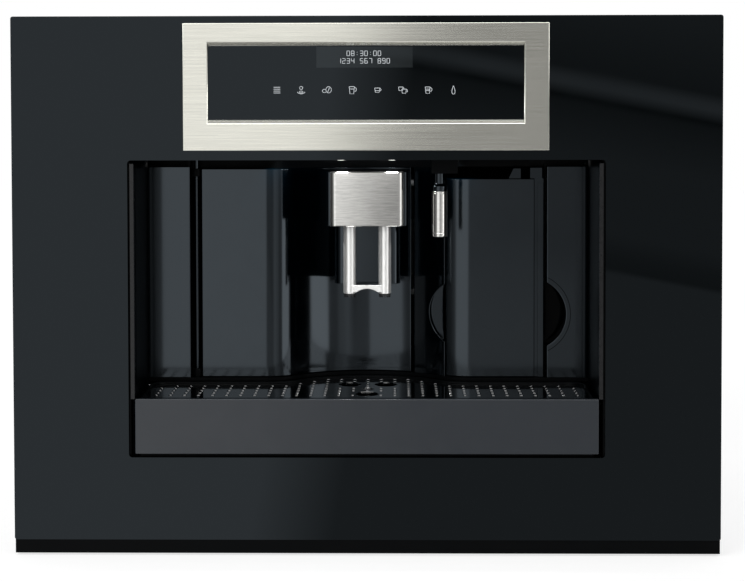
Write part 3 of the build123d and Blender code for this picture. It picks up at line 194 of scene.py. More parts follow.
# %% Bright wall on the left, its edge leaning a little
EDGE_AT_LEVEL, EDGE_LEAN, EDGE_LIMIT, EDGE_SOFTNESS = -0.016, 0.1756, 0.2, 0.75
HALF_TURN = 180.0
edge = add(room, "Math", {0: rise, 1: EDGE_LEAN, 2: EDGE_AT_LEVEL}, operation="MULTIPLY_ADD")
edge_limited = add(room, "Clamp", {"Value": edge, "Min": -EDGE_LIMIT, "Max": EDGE_LIMIT})
from_edge = add(room, "Math", {0: bearing, 1: edge_limited}, operation="SUBTRACT")
whole_turn = add(room, "MapRange", {"Value": from_edge, "From Min": -pi, "From Max": pi})
around_stops = [
    (-92, 0.03), (-53, 0.12), (-41, 0.28), (-38, 0.45), (-35, 1.0), (-EDGE_SOFTNESS, 1.0),
    (EDGE_SOFTNESS, 0.0), (17, 0.0), (24, 0.5), (34, 0.5), (36, 0.3), (45, 0.3), (48, 1.45),
    (68, 1.45), (71, 0.2), (92, 0.04),
]
around = ramp(room, whole_turn, around_stops, -HALF_TURN, HALF_TURN)
print("stops round the room, in degrees to the right:", len(around_stops))

# %% Dark right half, with its slanting stripe
STRIPE_LEAN, STRIPE_LOW, STRIPE_HIGH = 0.1955, -0.08, 0.09
side_share = add(room, "Math", {0: axes["X"], 1: along}, operation="DIVIDE")
stripe = add(room, "Math", {0: side_share, 1: STRIPE_LEAN, 2: rise}, operation="MULTIPLY_ADD")
stripe_range = {"Value": stripe, "From Min": STRIPE_LOW, "From Max": STRIPE_HIGH}
across_stripe = add(room, "MapRange", stripe_range)
stripe_stops = [
    (-0.0735, 0.385), (-0.0705, 0.19), (-0.062, 0.22), (-0.05, 0.31), (-0.008, 0.31), (0.012, 0.23),
    (0.0225, 0.18), (0.0262, 0.09), (0.0295, 0.30), (0.0335, 0.55), (0.0370, 0.50), (0.043, 0.20),
    (0.058, 0.24), (0.083, 0.31),
]
dark_half = ramp(room, across_stripe, stripe_stops, STRIPE_LOW, STRIPE_HIGH)
right_stops = [(-EDGE_SOFTNESS, 0.0), (EDGE_SOFTNESS, 1.0), (17, 1.0), (30, 0.0)]
right_only = ramp(room, whole_turn, right_stops, -HALF_TURN, HALF_TURN)
both = {"Fac": 1.0, "Color1": dark_half, "Color2": right_only}
dark_part = add(room, "MixRGB", both, blend_type="MULTIPLY")
walls = {"Fac": 1.0, "Color1": around, "Color2": dark_part}
studio = add(room, "MixRGB", walls, blend_type="ADD")
print("stops across the stripe:", len(stripe_stops))

# %% Long soft box overhead
OVERHEAD_LEVEL = 3.0
elevation = add(room, "Math", {0: axes["Z"]}, operation="ARCSINE")
height_share = add(room, "MapRange", {"Value": elevation, "From Max": pi / 2})
overhead = ramp(room, height_share, [(0.32, 0.0), (0.40, 1.0), (0.76, 1.0), (0.84, 0.2)])
lit_box = {"Fac": 1.0, "Color1": overhead, "Color2": grey(OVERHEAD_LEVEL)}
overhead_light = add(room, "MixRGB", lit_box, blend_type="MULTIPLY")
studio = add(
    room, "MixRGB", {"Fac": 1.0, "Color1": studio, "Color2": overhead_light}, blend_type="ADD"
)

# %% Behind the machine, and an even level for diffuse light
PLAIN_LEVEL, BEHIND_LEVEL = 0.72, 0.45
behind = add(room, "Math", {0: axes["Y"], 1: 0.0}, operation="GREATER_THAN")
path = add(room, "LightPath").outputs
through = {0: path["Is Camera Ray"], 1: path["Is Transmission Ray"]}
past_it = add(room, "Math", through, operation="MAXIMUM")
mirrored = add(room, "MixRGB", {"Fac": behind, "Color1": studio, "Color2": grey(BEHIND_LEVEL)})
on_the_object = {"Fac": path["Is Glossy Ray"], "Color1": grey(PLAIN_LEVEL), "Color2": mirrored}
lit = add(room, "MixRGB", on_the_object)
seen = add(room, "MixRGB", {"Fac": past_it, "Color1": lit, "Color2": WHITE})
background = add(room, "Background", {"Color": seen, "Strength": 1.0})
add(room, "OutputWorld", {"Surface": background})
print("room nodes", len(room.nodes))

# %% [markdown]
# ## Floor
# The floor is a white sheet that fades into the white room. Most of its light is its own, so it
# stays white in the picture, and the rest is reflected, which keeps the machine's soft shadow under
# it. Glossy rays pass through it: a catalogue picture mirrors no table in the glass.

# %% Floor
FLOOR_HALF, SHADOW_SHARE = 6.0, 0.4
floor_mesh = bpy.data.meshes.new("floor")
corners = [(x * FLOOR_HALF, y * FLOOR_HALF, 0) for x, y in ((-1, -1), (1, -1), (1, 1), (-1, 1))]
floor_mesh.from_pydata(corners, [], [(0, 1, 2, 3)])
floor = bpy.data.objects.new("floor", floor_mesh)
scene.collection.objects.link(floor)
paper = bpy.data.materials.new("white_paper_floor")
paper.use_nodes = True
sheet = paper.node_tree
sheet.nodes.clear()
own_level = (1 - SHADOW_SHARE * PLAIN_LEVEL) / (1 - SHADOW_SHARE)
own_light = add(sheet, "Emission", {"Color": WHITE, "Strength": own_level})
reflected = add(sheet, "BsdfDiffuse", {"Color": WHITE})
shaded = add(sheet, "MixShader", {0: SHADOW_SHARE, 1: own_light, 2: reflected})
in_a_mirror = add(sheet, "LightPath").outputs["Is Glossy Ray"]
by_ray = add(sheet, "MixShader", {0: in_a_mirror, 1: shaded, 2: add(sheet, "BsdfTransparent")})
add(sheet, "OutputMaterial", {"Surface": by_ray})
floor_mesh.materials.append(paper)
print("paper's own light", round(own_level, 3))

# %% [markdown]
# ## Lamps
# A large soft lamp at the upper left gives pale surfaces their shape. It is hidden from glossy
# rays, because the room already holds the picture of the bright wall. The real machine has two
# lamps behind the lenses in the niche's ceiling. Each is a small square here, a little behind its
# lens, aimed down along the spout. Two more at the sides stand for the light that the lenses spill.
# All four ride with the machine, or they would stay in the cabinet when it slides out.

# %% Key lamp
def soft_lamp(name, spot, target, size, power):
    """Square area lamp at a spot, aimed at a target, all in metres and watts."""
    data = bpy.data.lights.new(name, "AREA")
    data.size, data.energy = size, power
    lamp = bpy.data.objects.new(name, data)
    scene.collection.objects.link(lamp)
    spot, aim = Vector(spot), Vector(target) - Vector(spot)
    lamp.matrix_world = Matrix.Translation(spot) @ aim.to_track_quat("-Z", "Y").to_matrix().to_4x4()
    return lamp


KEY_PLACE, KEY_TARGET, KEY_SIZE, KEY_POWER = (-1.6, -1.9, 1.7), (0, 0, 0.2), 1.6, 26.0
soft_lamp("key_lamp", KEY_PLACE, KEY_TARGET, KEY_SIZE, KEY_POWER).visible_glossy = False

# %% Lamps of the niche
LAMP_X = 21.8
# Name; X, depth and height; the same of the target; size in m; power in W; whether gloss shows it.
NICHE_LAMPS = (
    ("niche_lamp", (LAMP_X, 36.0, 332.0), (LAMP_X, 62.0, 100.0), 0.010, 0.022, True),
    ("niche_spill", (85.0, 76.0, 334.0), (15.0, 57.0, 240.0), 0.012, 0.2, False),
)
for name, spot, target, size, power, in_gloss in NICHE_LAMPS:
    for side in (-1, 1):
        mirrored = np.array([side, 1, 1])
        lamp = soft_lamp(f"{name}_{side + 1}", place(*(spot * mirrored)),
                         place(*(target * mirrored)), size, power)
        lamp.visible_camera, lamp.visible_glossy = False, in_gloss
        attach(lamp, "machine")

# %% [markdown]
# ## Finishes: black glass
# The front is float glass, 4 mm thick, painted black on its back. Its face is optically flat, so it
# mirrors the room sharply. Only the first surface mirrors, because the paint swallows the rest, and
# the coated glass reflects a little less than plain window glass, which sets its index. A film of
# handling marks, a few centimetres across, makes the mirror very slightly uneven.

# %% Finish
FINISHES = {}


def finish(slot, name, colour, **sockets):
    """New material with one Principled shader, kept under its slot's name. The sockets are set
    directly. Returns the shader, whose id_data is the node tree."""
    material = bpy.data.materials.new(name)
    material.use_nodes = True
    shader = material.node_tree.nodes["Principled BSDF"]
    for socket, value in {"Base_Color": linear(colour), **sockets}.items():
        shader.inputs[socket.replace("_", " ")].default_value = value
    FINISHES[slot] = material
    return shader


# %% Pattern and relief
NOISE_LOW, NOISE_HIGH = 0.3, 0.7


def pattern(shader, wavelength, detail=2.0, stretch=(1.0, 1.0, 1.0), rough=0.5):
    """Noise in object space whose features are about wavelength metres across, drawn out along an
    axis where its stretch is more than 1."""
    tree = shader.id_data
    spot = add(tree, "TexCoord").outputs["Object"]
    squeezed = add(tree, "Mapping", {"Vector": spot, "Scale": tuple(1.0 / s for s in stretch)})
    noise = {"Vector": squeezed, "Scale": 1.0 / wavelength, "Detail": detail, "Roughness": rough}
    return add(tree, "TexNoise", noise)


def vary(shader, socket, source, low, high):
    """Drives a socket between two values by noise, most of which lies between 0.3 and 0.7."""
    levels = {"Value": source, "From Min": NOISE_LOW, "From Max": NOISE_HIGH,
              "To Min": low, "To Max": high}
    plug(add(shader.id_data, "MapRange", levels), shader.inputs[socket])


def relief(shader, source, height):
    """Bump of a pattern, height metres high."""
    bump = add(shader.id_data, "Bump", {"Height": source, "Distance": height, "Strength": 1.0})
    plug(bump, shader.inputs["Normal"])


def uneven(slot, name, colour, wavelength, low, high, detail=2.0, stretch=(1.0, 1.0, 1.0),
           **sockets):
    """Finish whose roughness wanders from low to high over a pattern."""
    shader = finish(slot, name, colour, Roughness=(low + high) / 2, **sockets)
    vary(shader, "Roughness", pattern(shader, wavelength, detail, stretch), low, high)
    return shader


# %% Black glass
COOL = (0.76, 0.89, 1.0, 1.0)
coated = {"IOR": 1.415, "Specular_Tint": COOL}
uneven("black_glass", "back_painted_float_glass", "000101", 0.045, 0.006, 0.025, 4.0, **coated)
uneven("window_glass", "tinted_display_glass", "000101", 0.03, 0.01, 0.03, 4.0, **coated)
print("glass", coated)

# %% [markdown]
# ## Finishes: black plastics
# The door and panels are ABS moulded in a polished tool. It mirrors like lacquer, a little softer
# than the glass beside it. The lining's back is polished too and its side walls are satin, so its
# roughness rises by the distance from the middle; its reflection is also turned down there, which
# is painted shade towards the corners. Satin parts come out of an eroded tool with a fine grain, so
# they scatter the light instead.

# %% Polished plastics
POLISHED = {"Specular_Tint": COOL}
uneven("gloss_black", "polished_black_abs", "000102", 0.02, 0.085, 0.12, 3.0, IOR=1.66, **POLISHED)
uneven("cover_black", "polished_black_tank_cover", "000102", 0.02, 0.125, 0.155, 3.0, IOR=1.7,
       **POLISHED)
shader = uneven("tray_gloss", "lacquered_dark_grey_abs", "272b30", 0.02, 0.14, 0.22, 3.0, IOR=1.49)
relief(shader, pattern(shader, 0.012, 0.0), 0.000003)
uneven("grille_gloss", "polished_black_grille", "030405", 0.006, 0.06, 0.16, 3.0, IOR=1.8,
       Coat_Weight=1.0, Coat_IOR=1.8, Coat_Roughness=0.05)

# %% Lining that turns from gloss to satin, with painted shade near its corners
lining = finish("lining_black", "polished_black_lining", "000102", IOR=1.66, **POLISHED)
tree = lining.id_data
across = add(tree, "SeparateXYZ", {0: add(tree, "TexCoord").outputs["Object"]})
off_centre = add(tree, "Math", {0: across}, operation="ABSOLUTE")
# The specular level that drops towards the sides is painted shade near the corners; the roughness
# that rises is the satin of the side walls.
# Socket; distances in metres from the middle between which it fades; its values there.
SATIN_AND_SHADE_FADES = (("Specular IOR Level", 0.1875, 0.1950, 0.5, 0.04), ("Roughness", 0.182, 0.194, 0.1, 0.3))
for socket, start, stop, low, high in SATIN_AND_SHADE_FADES:
    fade = {"Value": off_centre, "From Min": start, "From Max": stop, "To Min": low, "To Max": high}
    plug(add(tree, "MapRange", fade, interpolation_type="SMOOTHSTEP"), lining.inputs[socket])
print("lining fades", [fade[0] for fade in SATIN_AND_SHADE_FADES])

# %% Grained plastics
GRAIN_DEPTH, GRAIN_SPREAD, GRAIN_PATCH = 0.05, 0.06, 0.02


def grained_plastic(slot, name, colour, roughness, grain=0.0009, gloss=0.5):
    """Moulding from an eroded tool: a fine grain, drawn at grain metres so that it shows close
    up."""
    shader = uneven(slot, name, colour, GRAIN_PATCH, roughness - GRAIN_SPREAD,
                    roughness + GRAIN_SPREAD, IOR=1.5, Specular_IOR_Level=gloss)
    relief(shader, pattern(shader, grain), grain * GRAIN_DEPTH)


grained_plastic("satin_black", "eroded_black_abs", "030405", 0.42, gloss=0.06)
grained_plastic("works_black", "moulded_black_polyamide", "1b1c1e", 0.55)
grained_plastic("works_grey", "glass_filled_grey_polyamide", "8b8e90", 0.5, 0.0012)
grained_plastic("float_red", "moulded_red_polypropylene", "c1342b", 0.4)
print("finishes so far", len(FINISHES))

# %% [markdown]
# ## Finishes: steels
# The surround and the spout's cover are stainless steel brushed along X. Brushing leaves grooves
# finer than a tenth of a millimetre, too fine for the picture, so the grain is drawn about one
# millimetre wide and many times as long. It shows twice: the streaks differ a little in brightness,
# and the highlight is drawn out across the grain, which anisotropy gives. The tubes are polished,
# the rails are zinc plated with a faint mottle, and the carcass is galvanised sheet, whose zinc
# crystals are drawn as cells of three close greys.

# %% Brushed and polished steel
DRAWN_OUT, GROOVE_SPREAD, GROOVE_DEPTH = 0.95, 0.015, 0.000002


def upright_tangent(shader):
    """Turns the shader's anisotropy so that a highlight is drawn out up and down."""
    plug(add(shader.id_data, "CombineXYZ", {"Z": 1.0}), shader.inputs["Tangent"])


def brushed_steel(slot, name, colour, width, length, roughness, strength, metal=1.0):
    """Steel brushed along X: streaks of a width and length in metres, in tint and in relief."""
    shader = finish(
        slot, name, colour, Metallic=metal, Roughness=roughness, Anisotropic=DRAWN_OUT
    )
    upright_tangent(shader)
    streaks = pattern(shader, width, 3.0, (length / width, 1.0, 1.0), 0.65)
    tone = np.array(linear(colour)[:3])
    stops = [(NOISE_LOW, (*(tone * (1 - strength)), 1.0)),
             (NOISE_HIGH, (*(tone * (1 + strength / 2)), 1.0))]
    plug(ramp(shader.id_data, streaks, stops), shader.inputs["Base Color"])
    vary(shader, "Roughness", streaks, roughness - GROOVE_SPREAD, roughness + GROOVE_SPREAD)
    relief(shader, streaks, GROOVE_DEPTH)


brushed_steel("brushed_steel", "brushed_stainless_surround", "e3e2d8", 0.0008, 0.05, 0.15, 0.09)
brushed_steel("spout_steel", "brushed_stainless_spout", "ebeae6", 0.0009, 0.012, 0.06, 0.15, 0.97)
upright_tangent(uneven("polished_steel", "polished_stainless_tube", "f8f8f6", 0.002, 0.3, 0.38,
                       stretch=(1, 1, 6), Metallic=0.8, Anisotropic=DRAWN_OUT))
print("finishes so far", len(FINISHES))

# %% Zinc-plated and galvanised steel
SPANGLE = 0.006
zinc = finish("zinc_steel", "zinc_plated_steel", "b9bcbe", Metallic=1.0)
mottle = pattern(zinc, 0.012, 4.0)
galvanised = finish("grey_sheet", "galvanised_sheet", "a9acad", Metallic=1.0)
spot = add(galvanised.id_data, "TexCoord").outputs["Object"]
cells = add(galvanised.id_data, "TexVoronoi", {"Vector": spot, "Scale": 1.0 / SPANGLE})
cell_shade = add(galvanised.id_data, "SeparateColor", {0: cells.outputs["Color"]})
for shader, source, tints, low, high in (
    (zinc, mottle, [(0.35, "a9adb1"), (0.65, "c3c5c4")], 0.3, 0.44),
    (galvanised, cell_shade, [(0.0, "a3a6a8"), (0.5, "a8abad"), (1.0, "aeb1b2")], 0.41, 0.46),
):
    stops = [(spot, linear(tint)) for spot, tint in tints]
    plug(ramp(shader.id_data, source, stops), shader.inputs["Base Color"])
    vary(shader, "Roughness", source, low, high)
print("zinc crystals", SPANGLE, "m")

# %% Cast aluminium and burr steel
cast = finish("cast_aluminium", "die_cast_aluminium", "b4b6b7", Metallic=1.0, Roughness=0.5)
relief(cast, pattern(cast, 0.0012, 4.0), 0.00008)
uneven("burr_steel", "ground_burr_steel", "a3a5a6", 0.001, 0.22, 0.38, stretch=(1, 1, 4),
       Metallic=1.0)

# %% [markdown]
# ## Other finishes
# The edge strips are dark and soft. The tank is a smoky clear copolyester and the hopper a brown
# SAN, which light passes through. The lamps' lenses are frosted and glow a little. The hoses are
# silicone, in which light spreads a few millimetres, and the boards carry copper tracks under a
# green mask.

# %% Other finishes
uneven("trim_grey", "grey_edge_strip", "0c0d0f", 0.004, 0.24, 0.36, IOR=1.45)
uneven("tank_clear", "smoke_grey_copolyester", "9fa6ab", 0.02, 0.03, 0.1, IOR=1.57,
       Transmission_Weight=1.0)
uneven("bean_smoke", "smoke_brown_san", "6e625a", 0.02, 0.08, 0.18, IOR=1.56,
       Transmission_Weight=0.85)
uneven("lamp_lens", "frosted_lamp_lens", "f4f5f2", 0.002, 0.3, 0.5, IOR=1.49,
       Emission_Color=linear("fffdf6"), Emission_Strength=2.2)
uneven("hose_silicone", "extruded_silicone_hose", "d5d8d6", 0.003, 0.3, 0.46, IOR=1.43,
       Subsurface_Weight=0.3, Subsurface_Radius=(0.004, 0.004, 0.004))
board = finish("board_green", "solder_masked_board", "1c4a33", Roughness=0.35, IOR=1.55)
tracks = pattern(board, 0.002, 0.0, (4.0, 1.0, 1.0))
track_stops = [(0.52, linear("174230")), (0.54, linear("235c40"))]
plug(ramp(board.id_data, tracks, track_stops), board.inputs["Base Color"])

# %% [markdown]
# ## Putting the finishes on
# The record names one material slot for each node, and each finish is kept under a slot's name, so
# every node is dressed in one loop.

# %% Dress the nodes
slot_of = {part["node"]: part["material_slot"] for part in frame["record"]["subparts"]}
for node_name, node_object in frame["nodes"].items():
    node_object.data.materials.clear()
    node_object.data.materials.append(FINISHES[slot_of[node_name]])
print("dressed", len(slot_of), "nodes from", len(FINISHES), "finishes")

# %% [markdown]
# ## Surfaces
# A piece is a grid of points: one parameter runs along an outline, the other across it, and numpy
# works out all points at once. Neighbouring points join into four-sided faces. Three makers use
# that grid. A sheet is an open grid that gets its wall from a Solidify modifier. A bar is an
# outline carried along a straight line, with its ends closed. A turned piece is a profile carried
# round an upright axis. Weighted normals keep flat faces flat beside a small rounded edge.

# %% Grid
def grid_faces(rows, columns, round_rows=False, left_out=None):
    """Four-sided faces between neighbouring points of a grid. round_rows joins the last row to the
    first. left_out is a mask of faces that aren't made."""
    index = np.arange(rows * columns).reshape(rows, columns)
    if round_rows:
        index = np.vstack([index, index[:1]])
    quads = np.stack([index[:-1, :-1], index[1:, :-1], index[1:, 1:], index[:-1, 1:]], axis=-1)
    return (quads.reshape(-1, 4) if left_out is None else quads[~left_out]).tolist()


def grid(x, depth, z, **faces):
    """Points and faces of a grid whose X, depth and height in millimetres broadcast together."""
    points = place(x, depth, z)
    return points.reshape(-1, 3), grid_faces(*points.shape[:2], **faces)


# %% Bar and turned piece
def bar(outline, low, high, upright=True):
    """Points and faces of an outline carried from low to high, in millimetres. An upright bar has
    its outline in X and depth; the others have it in X and height and run from depth low to
    high."""
    outline = np.asarray(outline, float)
    count = len(outline)
    ends = np.repeat([low, high], count)
    across, second = np.tile(outline[:, 0], 2), np.tile(outline[:, 1], 2)
    points = place(across, second, ends) if upright else place(across, ends, second)
    index = np.arange(count)
    after = np.roll(index, -1)
    sides = np.column_stack([index, after, after + count, index + count]).tolist()
    return points, [*sides, index[::-1].tolist(), (index + count).tolist()]


def turned(profile, x, depth, steps=40):
    """Points and faces of a profile of radius and height carried round an upright axis at x, depth.
    A profile that starts and ends on the axis, or on itself, makes a closed body."""
    radius, height = np.asarray(profile, float).T
    angle = np.linspace(0, 2 * pi, steps, endpoint=False)[:, None]
    return grid(x + radius * np.cos(angle), depth + radius * np.sin(angle), height, round_rows=True)


def measured(*parts):
    """Profile from parts: each is a base height and its pairs of radius and height over that
    base."""
    return [(radius, base + rise) for base, pairs in parts for radius, rise in pairs]


def joined(*parts):
    """Several sets of points and faces as one."""
    points, faces, start = [], [], 0
    for part_points, part_faces in parts:
        points.append(part_points)
        faces += [[corner + start for corner in face] for face in part_faces]
        start += len(part_points)
    return np.vstack(points), faces


# %% Piece from a grid
WELD, SHARP_ANGLE, BEVEL_ANGLE = 0.002, radians(50), radians(40)


def make_piece(name, shape, slot, body, stands_for="", dress="", wall=0.0, edge=0.0):
    """Object from points and faces. dress names a finish other than its slot's. A sheet has a wall,
    which gives it that thickness in millimetres, away from its face. A piece without one is a
    closed body, which is turned outwards. edge rounds sharp edges by that many millimetres."""
    points, faces = shape
    mesh = bpy.data.meshes.new(name)
    mesh.from_pydata(points.tolist(), [], faces)
    form = bmesh.new()
    form.from_mesh(mesh)
    bmesh.ops.remove_doubles(form, verts=form.verts, dist=mm(WELD))
    if not wall:
        bmesh.ops.recalc_face_normals(form, faces=form.faces)
    form.to_mesh(mesh)
    form.free()
    mesh.shade_smooth()
    mesh.set_sharp_from_angle(angle=SHARP_ANGLE)
    mesh.materials.append(FINISHES[dress or slot])
    piece = bpy.data.objects.new(name, mesh)
    scene.collection.objects.link(piece)
    if wall:
        thicken = piece.modifiers.new("wall", "SOLIDIFY")
        thicken.thickness, thicken.offset = mm(wall), -1.0
    if edge:
        soften = piece.modifiers.new("edge", "BEVEL")
        soften.width, soften.segments, soften.use_clamp_overlap = mm(edge), 3, True
        soften.limit_method, soften.angle_limit = "ANGLE", BEVEL_ANGLE
    piece.modifiers.new("flat_faces", "WEIGHTED_NORMAL").keep_sharp = True
    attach(piece, body)
    if stands_for:
        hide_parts(stands_for)
    print(f"{name}: {len(mesh.polygons)} faces on {body}")
    return piece


# %% Outline with round corners
def rounded_box(x0, x1, y0, y1, radius, steps=6, corners=(1, 1, 1, 1)):
    """Outline of a rectangle whose corners, from the lower left anticlockwise, are arcs where
    asked."""
    centres = ((x0, y0, pi), (x1, y0, 1.5 * pi), (x1, y1, 0.0), (x0, y1, 0.5 * pi))
    outline = []
    for (x, y, start), is_round in zip(centres, corners):
        if not is_round:
            outline.append([[x, y]])
            continue
        angle = start + np.linspace(0, pi / 2, steps + 1)
        x += radius if x == x0 else -radius
        y += radius if y == y0 else -radius
        outline.append(np.column_stack([x + radius * np.cos(angle), y + radius * np.sin(angle)]))
    return np.vstack(outline)


# %% [markdown]
# ## Back wall of the niche
# Seen from above, the back wall runs flat, rolls over a convex edge into a round hollow behind the
# spout, and comes out again the same way. Door, jamb and tank cover are all cut from that one line,
# so one function gives it: the depth of the line at any X, and of lines parallel to it. It is the
# tangent chain of an arc of one radius and an arc of another, turned through the same angle.

# %% The wall line
WALL_DEPTH, HOLLOW_DEPTH, ROUND_HALF, HOLLOW_HALF = 88.0, 126.0, 91.0, 66.0
TURN = 2 * atan2(HOLLOW_DEPTH - WALL_DEPTH, ROUND_HALF)
HOLLOW_RADIUS = HOLLOW_HALF / sin(TURN)
CONVEX_RADIUS = ROUND_HALF / sin(TURN) - HOLLOW_RADIUS


def wall_line(x, back=0.0):
    """Depth of the wall line at X, moved back. The flat part is constant; the convex part is a
    circle of radius CONVEX_RADIUS - back; the hollow is a circle of radius HOLLOW_RADIUS + back."""
    x, back = np.broadcast_arrays(np.abs(x).astype(float), np.asarray(back, float))
    convex, hollow = CONVEX_RADIUS - back, HOLLOW_RADIUS + back
    reach = np.clip(ROUND_HALF - x, 0, convex * sin(TURN))
    on_convex = WALL_DEPTH + back + convex - np.sqrt(convex**2 - reach**2)
    on_hollow = HOLLOW_DEPTH - HOLLOW_RADIUS + np.sqrt(hollow**2 - np.minimum(x, hollow) ** 2)
    return np.where(ROUND_HALF - x < convex * sin(TURN), on_convex, on_hollow)


print("radii", round(CONVEX_RADIUS, 2), round(HOLLOW_RADIUS, 2))

# %% [markdown]
# ## Moulded panels
# Each panel is a shallow pan: a face that follows the wall line, an edge rolled by less than a
# millimetre, and a rim that runs straight back. The roll is what the photograph shows as a fine
# light line beside each dark joint. Along each direction the grid first steps down the rim, then
# round the quarter circle of the roll, then across the face. A panel's back is the larger of the
# two steps.

# %% Rolled edges
PANEL_LOW, PANEL_TOP, ROLL, PANEL_SKIN = 138.3, 324.8, 0.8, 1.2
QUARTER = np.linspace(0, pi / 2, 5)[:-1]
ROLL_ACROSS, ROLL_BACK = ROLL * (1 - np.cos(QUARTER)), ROLL * (1 - np.sin(QUARTER))


def rolled(start, stop, count, rim, rim_start=True, rim_stop=True):
    """Places along one direction, and how far back each lies: rim, quarter circle, face, quarter
    circle, rim."""
    face = np.linspace(start + ROLL * rim_start, stop - ROLL * rim_stop, count)
    step, step_back = np.r_[0, ROLL_ACROSS], np.r_[rim, ROLL_BACK]
    places = [*[start + step] * rim_start, face, *[stop - step[::-1]] * rim_stop]
    backs = [*[step_back] * rim_start, np.zeros(count), *[step_back[::-1]] * rim_stop]
    return np.concatenate(places), np.concatenate(backs)


def panel(across, across_back, up, up_back, **faces):
    """Panel on the wall line, from its places across and up and how far back each lies."""
    back = np.maximum(across_back[:, None], up_back)
    return grid(across[:, None], wall_line(across[:, None], back), up, **faces)


def middles(values):
    """Places halfway between neighbours, one for each face."""
    return (values[1:] + values[:-1]) / 2


# %% Service door
DOOR_LEFT, DOOR_RIGHT, DOOR_RIM, DOOR_SKIN = -148.3, 38.9, 10.0, 2.6
SLOT_HALF, SLOT_LOW, SLOT_HIGH = 5.8, 257.7, 315.7
door_x, door_x_back = rolled(DOOR_LEFT, DOOR_RIGHT, 121, DOOR_RIM)
door_z, door_z_back = rolled(PANEL_LOW, PANEL_TOP, 61, DOOR_RIM)
in_slot = []
for places, low, high in ((door_x, -SLOT_HALF, SLOT_HALF), (door_z, SLOT_LOW, SLOT_HIGH)):
    for slot_edge in (low, high):
        places[np.abs(places - slot_edge).argmin()] = slot_edge
    in_slot.append((middles(places) > low) & (middles(places) < high))
door_leaf = panel(door_x, door_x_back, door_z, door_z_back, left_out=np.outer(*in_slot))
make_piece("door_leaf", door_leaf, "gloss_black", "service_door", "service_door",
           wall=DOOR_SKIN)

# %% Door knuckles and hinge rod
HINGE_X, HINGE_DEPTH, ROD_RADIUS, KNUCKLE_RADIUS, KNUCKLE_HEIGHT = -153.15, 93.0, 1.85, 4.6, 7.0
ROD_PLAY, ARM_START, ARM_OVERLAP, ARM_NEAR, ARM_FAR, ARM_INSET = 0.1, 2.2, 2.0, 1.6, 4.6, 0.2
DECK_TOP, CEILING = 137.8, 336.0


def tube(x, depth, low, high, inner, outer, roll=0.3, steps=40):
    """Upright tube with its four edges rounded off."""
    foot = [(inner, roll), (inner + roll, 0), (outer - roll, 0), (outer, roll)]
    head = [(radius, -rise) for radius, rise in foot[::-1]]
    return turned(measured((low, foot), (high, head), (low, foot[:1])), x, depth, steps)


knuckles = []
for low in (PANEL_LOW, PANEL_TOP - KNUCKLE_HEIGHT):
    high = low + KNUCKLE_HEIGHT
    knuckles.append(tube(HINGE_X, HINGE_DEPTH, low, high, ROD_RADIUS + ROD_PLAY, KNUCKLE_RADIUS))
    arm = rounded_box(HINGE_X + ARM_START, DOOR_LEFT + ARM_OVERLAP, HINGE_DEPTH + ARM_NEAR,
                      HINGE_DEPTH + ARM_FAR, 0.5)
    knuckles.append(bar(arm, low + ARM_INSET, high - ARM_INSET))
make_piece("door_knuckles", joined(*knuckles), "satin_black", "service_door")
rod = measured((DECK_TOP, [(0, 0), (ROD_RADIUS, 0)]), (CEILING, [(ROD_RADIUS, 0), (0, 0)]))
make_piece("hinge_rod", turned(rod, HINGE_X, HINGE_DEPTH), "gloss_black", "machine",
           "door_hinge_rod")

# %% Rows and openings of the lining
EDGE_ROW, WALL_TOP, NICHE_FLOOR = 0.3, 326.3, 83.6
LINER_INSIDE, LINER_WALL, CORNER_ROUND, LINER_FRONT = 196.0, 3.2, 4.0, 5.8
LEFT_EDGE, RIGHT_EDGE = -158.6, 159.5
FLAT_END, SIDE_END = LINER_INSIDE - CORNER_ROUND, WALL_DEPTH - CORNER_ROUND
CORNER_ANGLE = np.linspace(0, pi / 2, 17)


def edge_rows(low, high, count):
    """Heights between a low and a high edge: one just inside each edge, so that the shading of the
    rim stays at the rim, and even ones between them."""
    return np.linspace(low + EDGE_ROW, high - EDGE_ROW, count)


def cut_away(depth, z):
    """Faces that the lining leaves out: those of its back wall below the deck or over the
    panels."""
    behind_corner = middles(depth) > SIDE_END - 1
    return behind_corner[:, None] & ((middles(z) < DECK_TOP) | (middles(z) > WALL_TOP))


# %% Left wall
def corner_path(edge):
    """X and depth along the inside of the left lining: back along the side wall, round the corner,
    and across the flat wall to a rolled edge."""
    side = np.linspace(LINER_FRONT, SIDE_END, 8)[:-1]
    flat, flat_back = rolled(-FLAT_END, edge, 10, LINER_WALL, rim_start=False)
    corner_x = -FLAT_END - CORNER_ROUND * np.cos(CORNER_ANGLE)
    corner_depth = SIDE_END + CORNER_ROUND * np.sin(CORNER_ANGLE)
    x = np.r_[np.full(side.shape, -LINER_INSIDE), corner_x, flat[1:]]
    return x, np.r_[side, corner_depth, WALL_DEPTH + flat_back[1:]]


wall_x, wall_depth = corner_path(LEFT_EDGE)
wall_z = np.r_[NICHE_FLOOR, DECK_TOP, edge_rows(DECK_TOP, WALL_TOP, 24), WALL_TOP, CEILING]
left_wall = grid(wall_x[:, None], wall_depth[:, None], wall_z,
                 left_out=cut_away(wall_depth, wall_z))
make_piece("left_lining", left_wall, "gloss_black", "machine", "niche_left_wall",
           dress="lining_black", wall=LINER_WALL)

# %% [markdown]
# ## Finger pockets
# Two round pockets, left and right of the tank, let a hand pull it out. Each is half hidden by the
# tank, so the panel beside it has an edge that follows the circle. The grid does that by itself: in
# each row the first point lies on the panel's straight edge or on the circle, whichever is further
# in, and the row's other points are spread evenly from there. A thin matt line rings the right one.

# %% Edge and floor of a pocket
POCKET_RADIUS, POCKET_HEIGHT, POCKET_BACK, RING_RADIUS = 32.3, 194.5, 118.0, 36.5
RIGHT_POCKET_X, LEFT_POCKET_X, FLOOR_WALL = 144.2, 88.0, 2.0


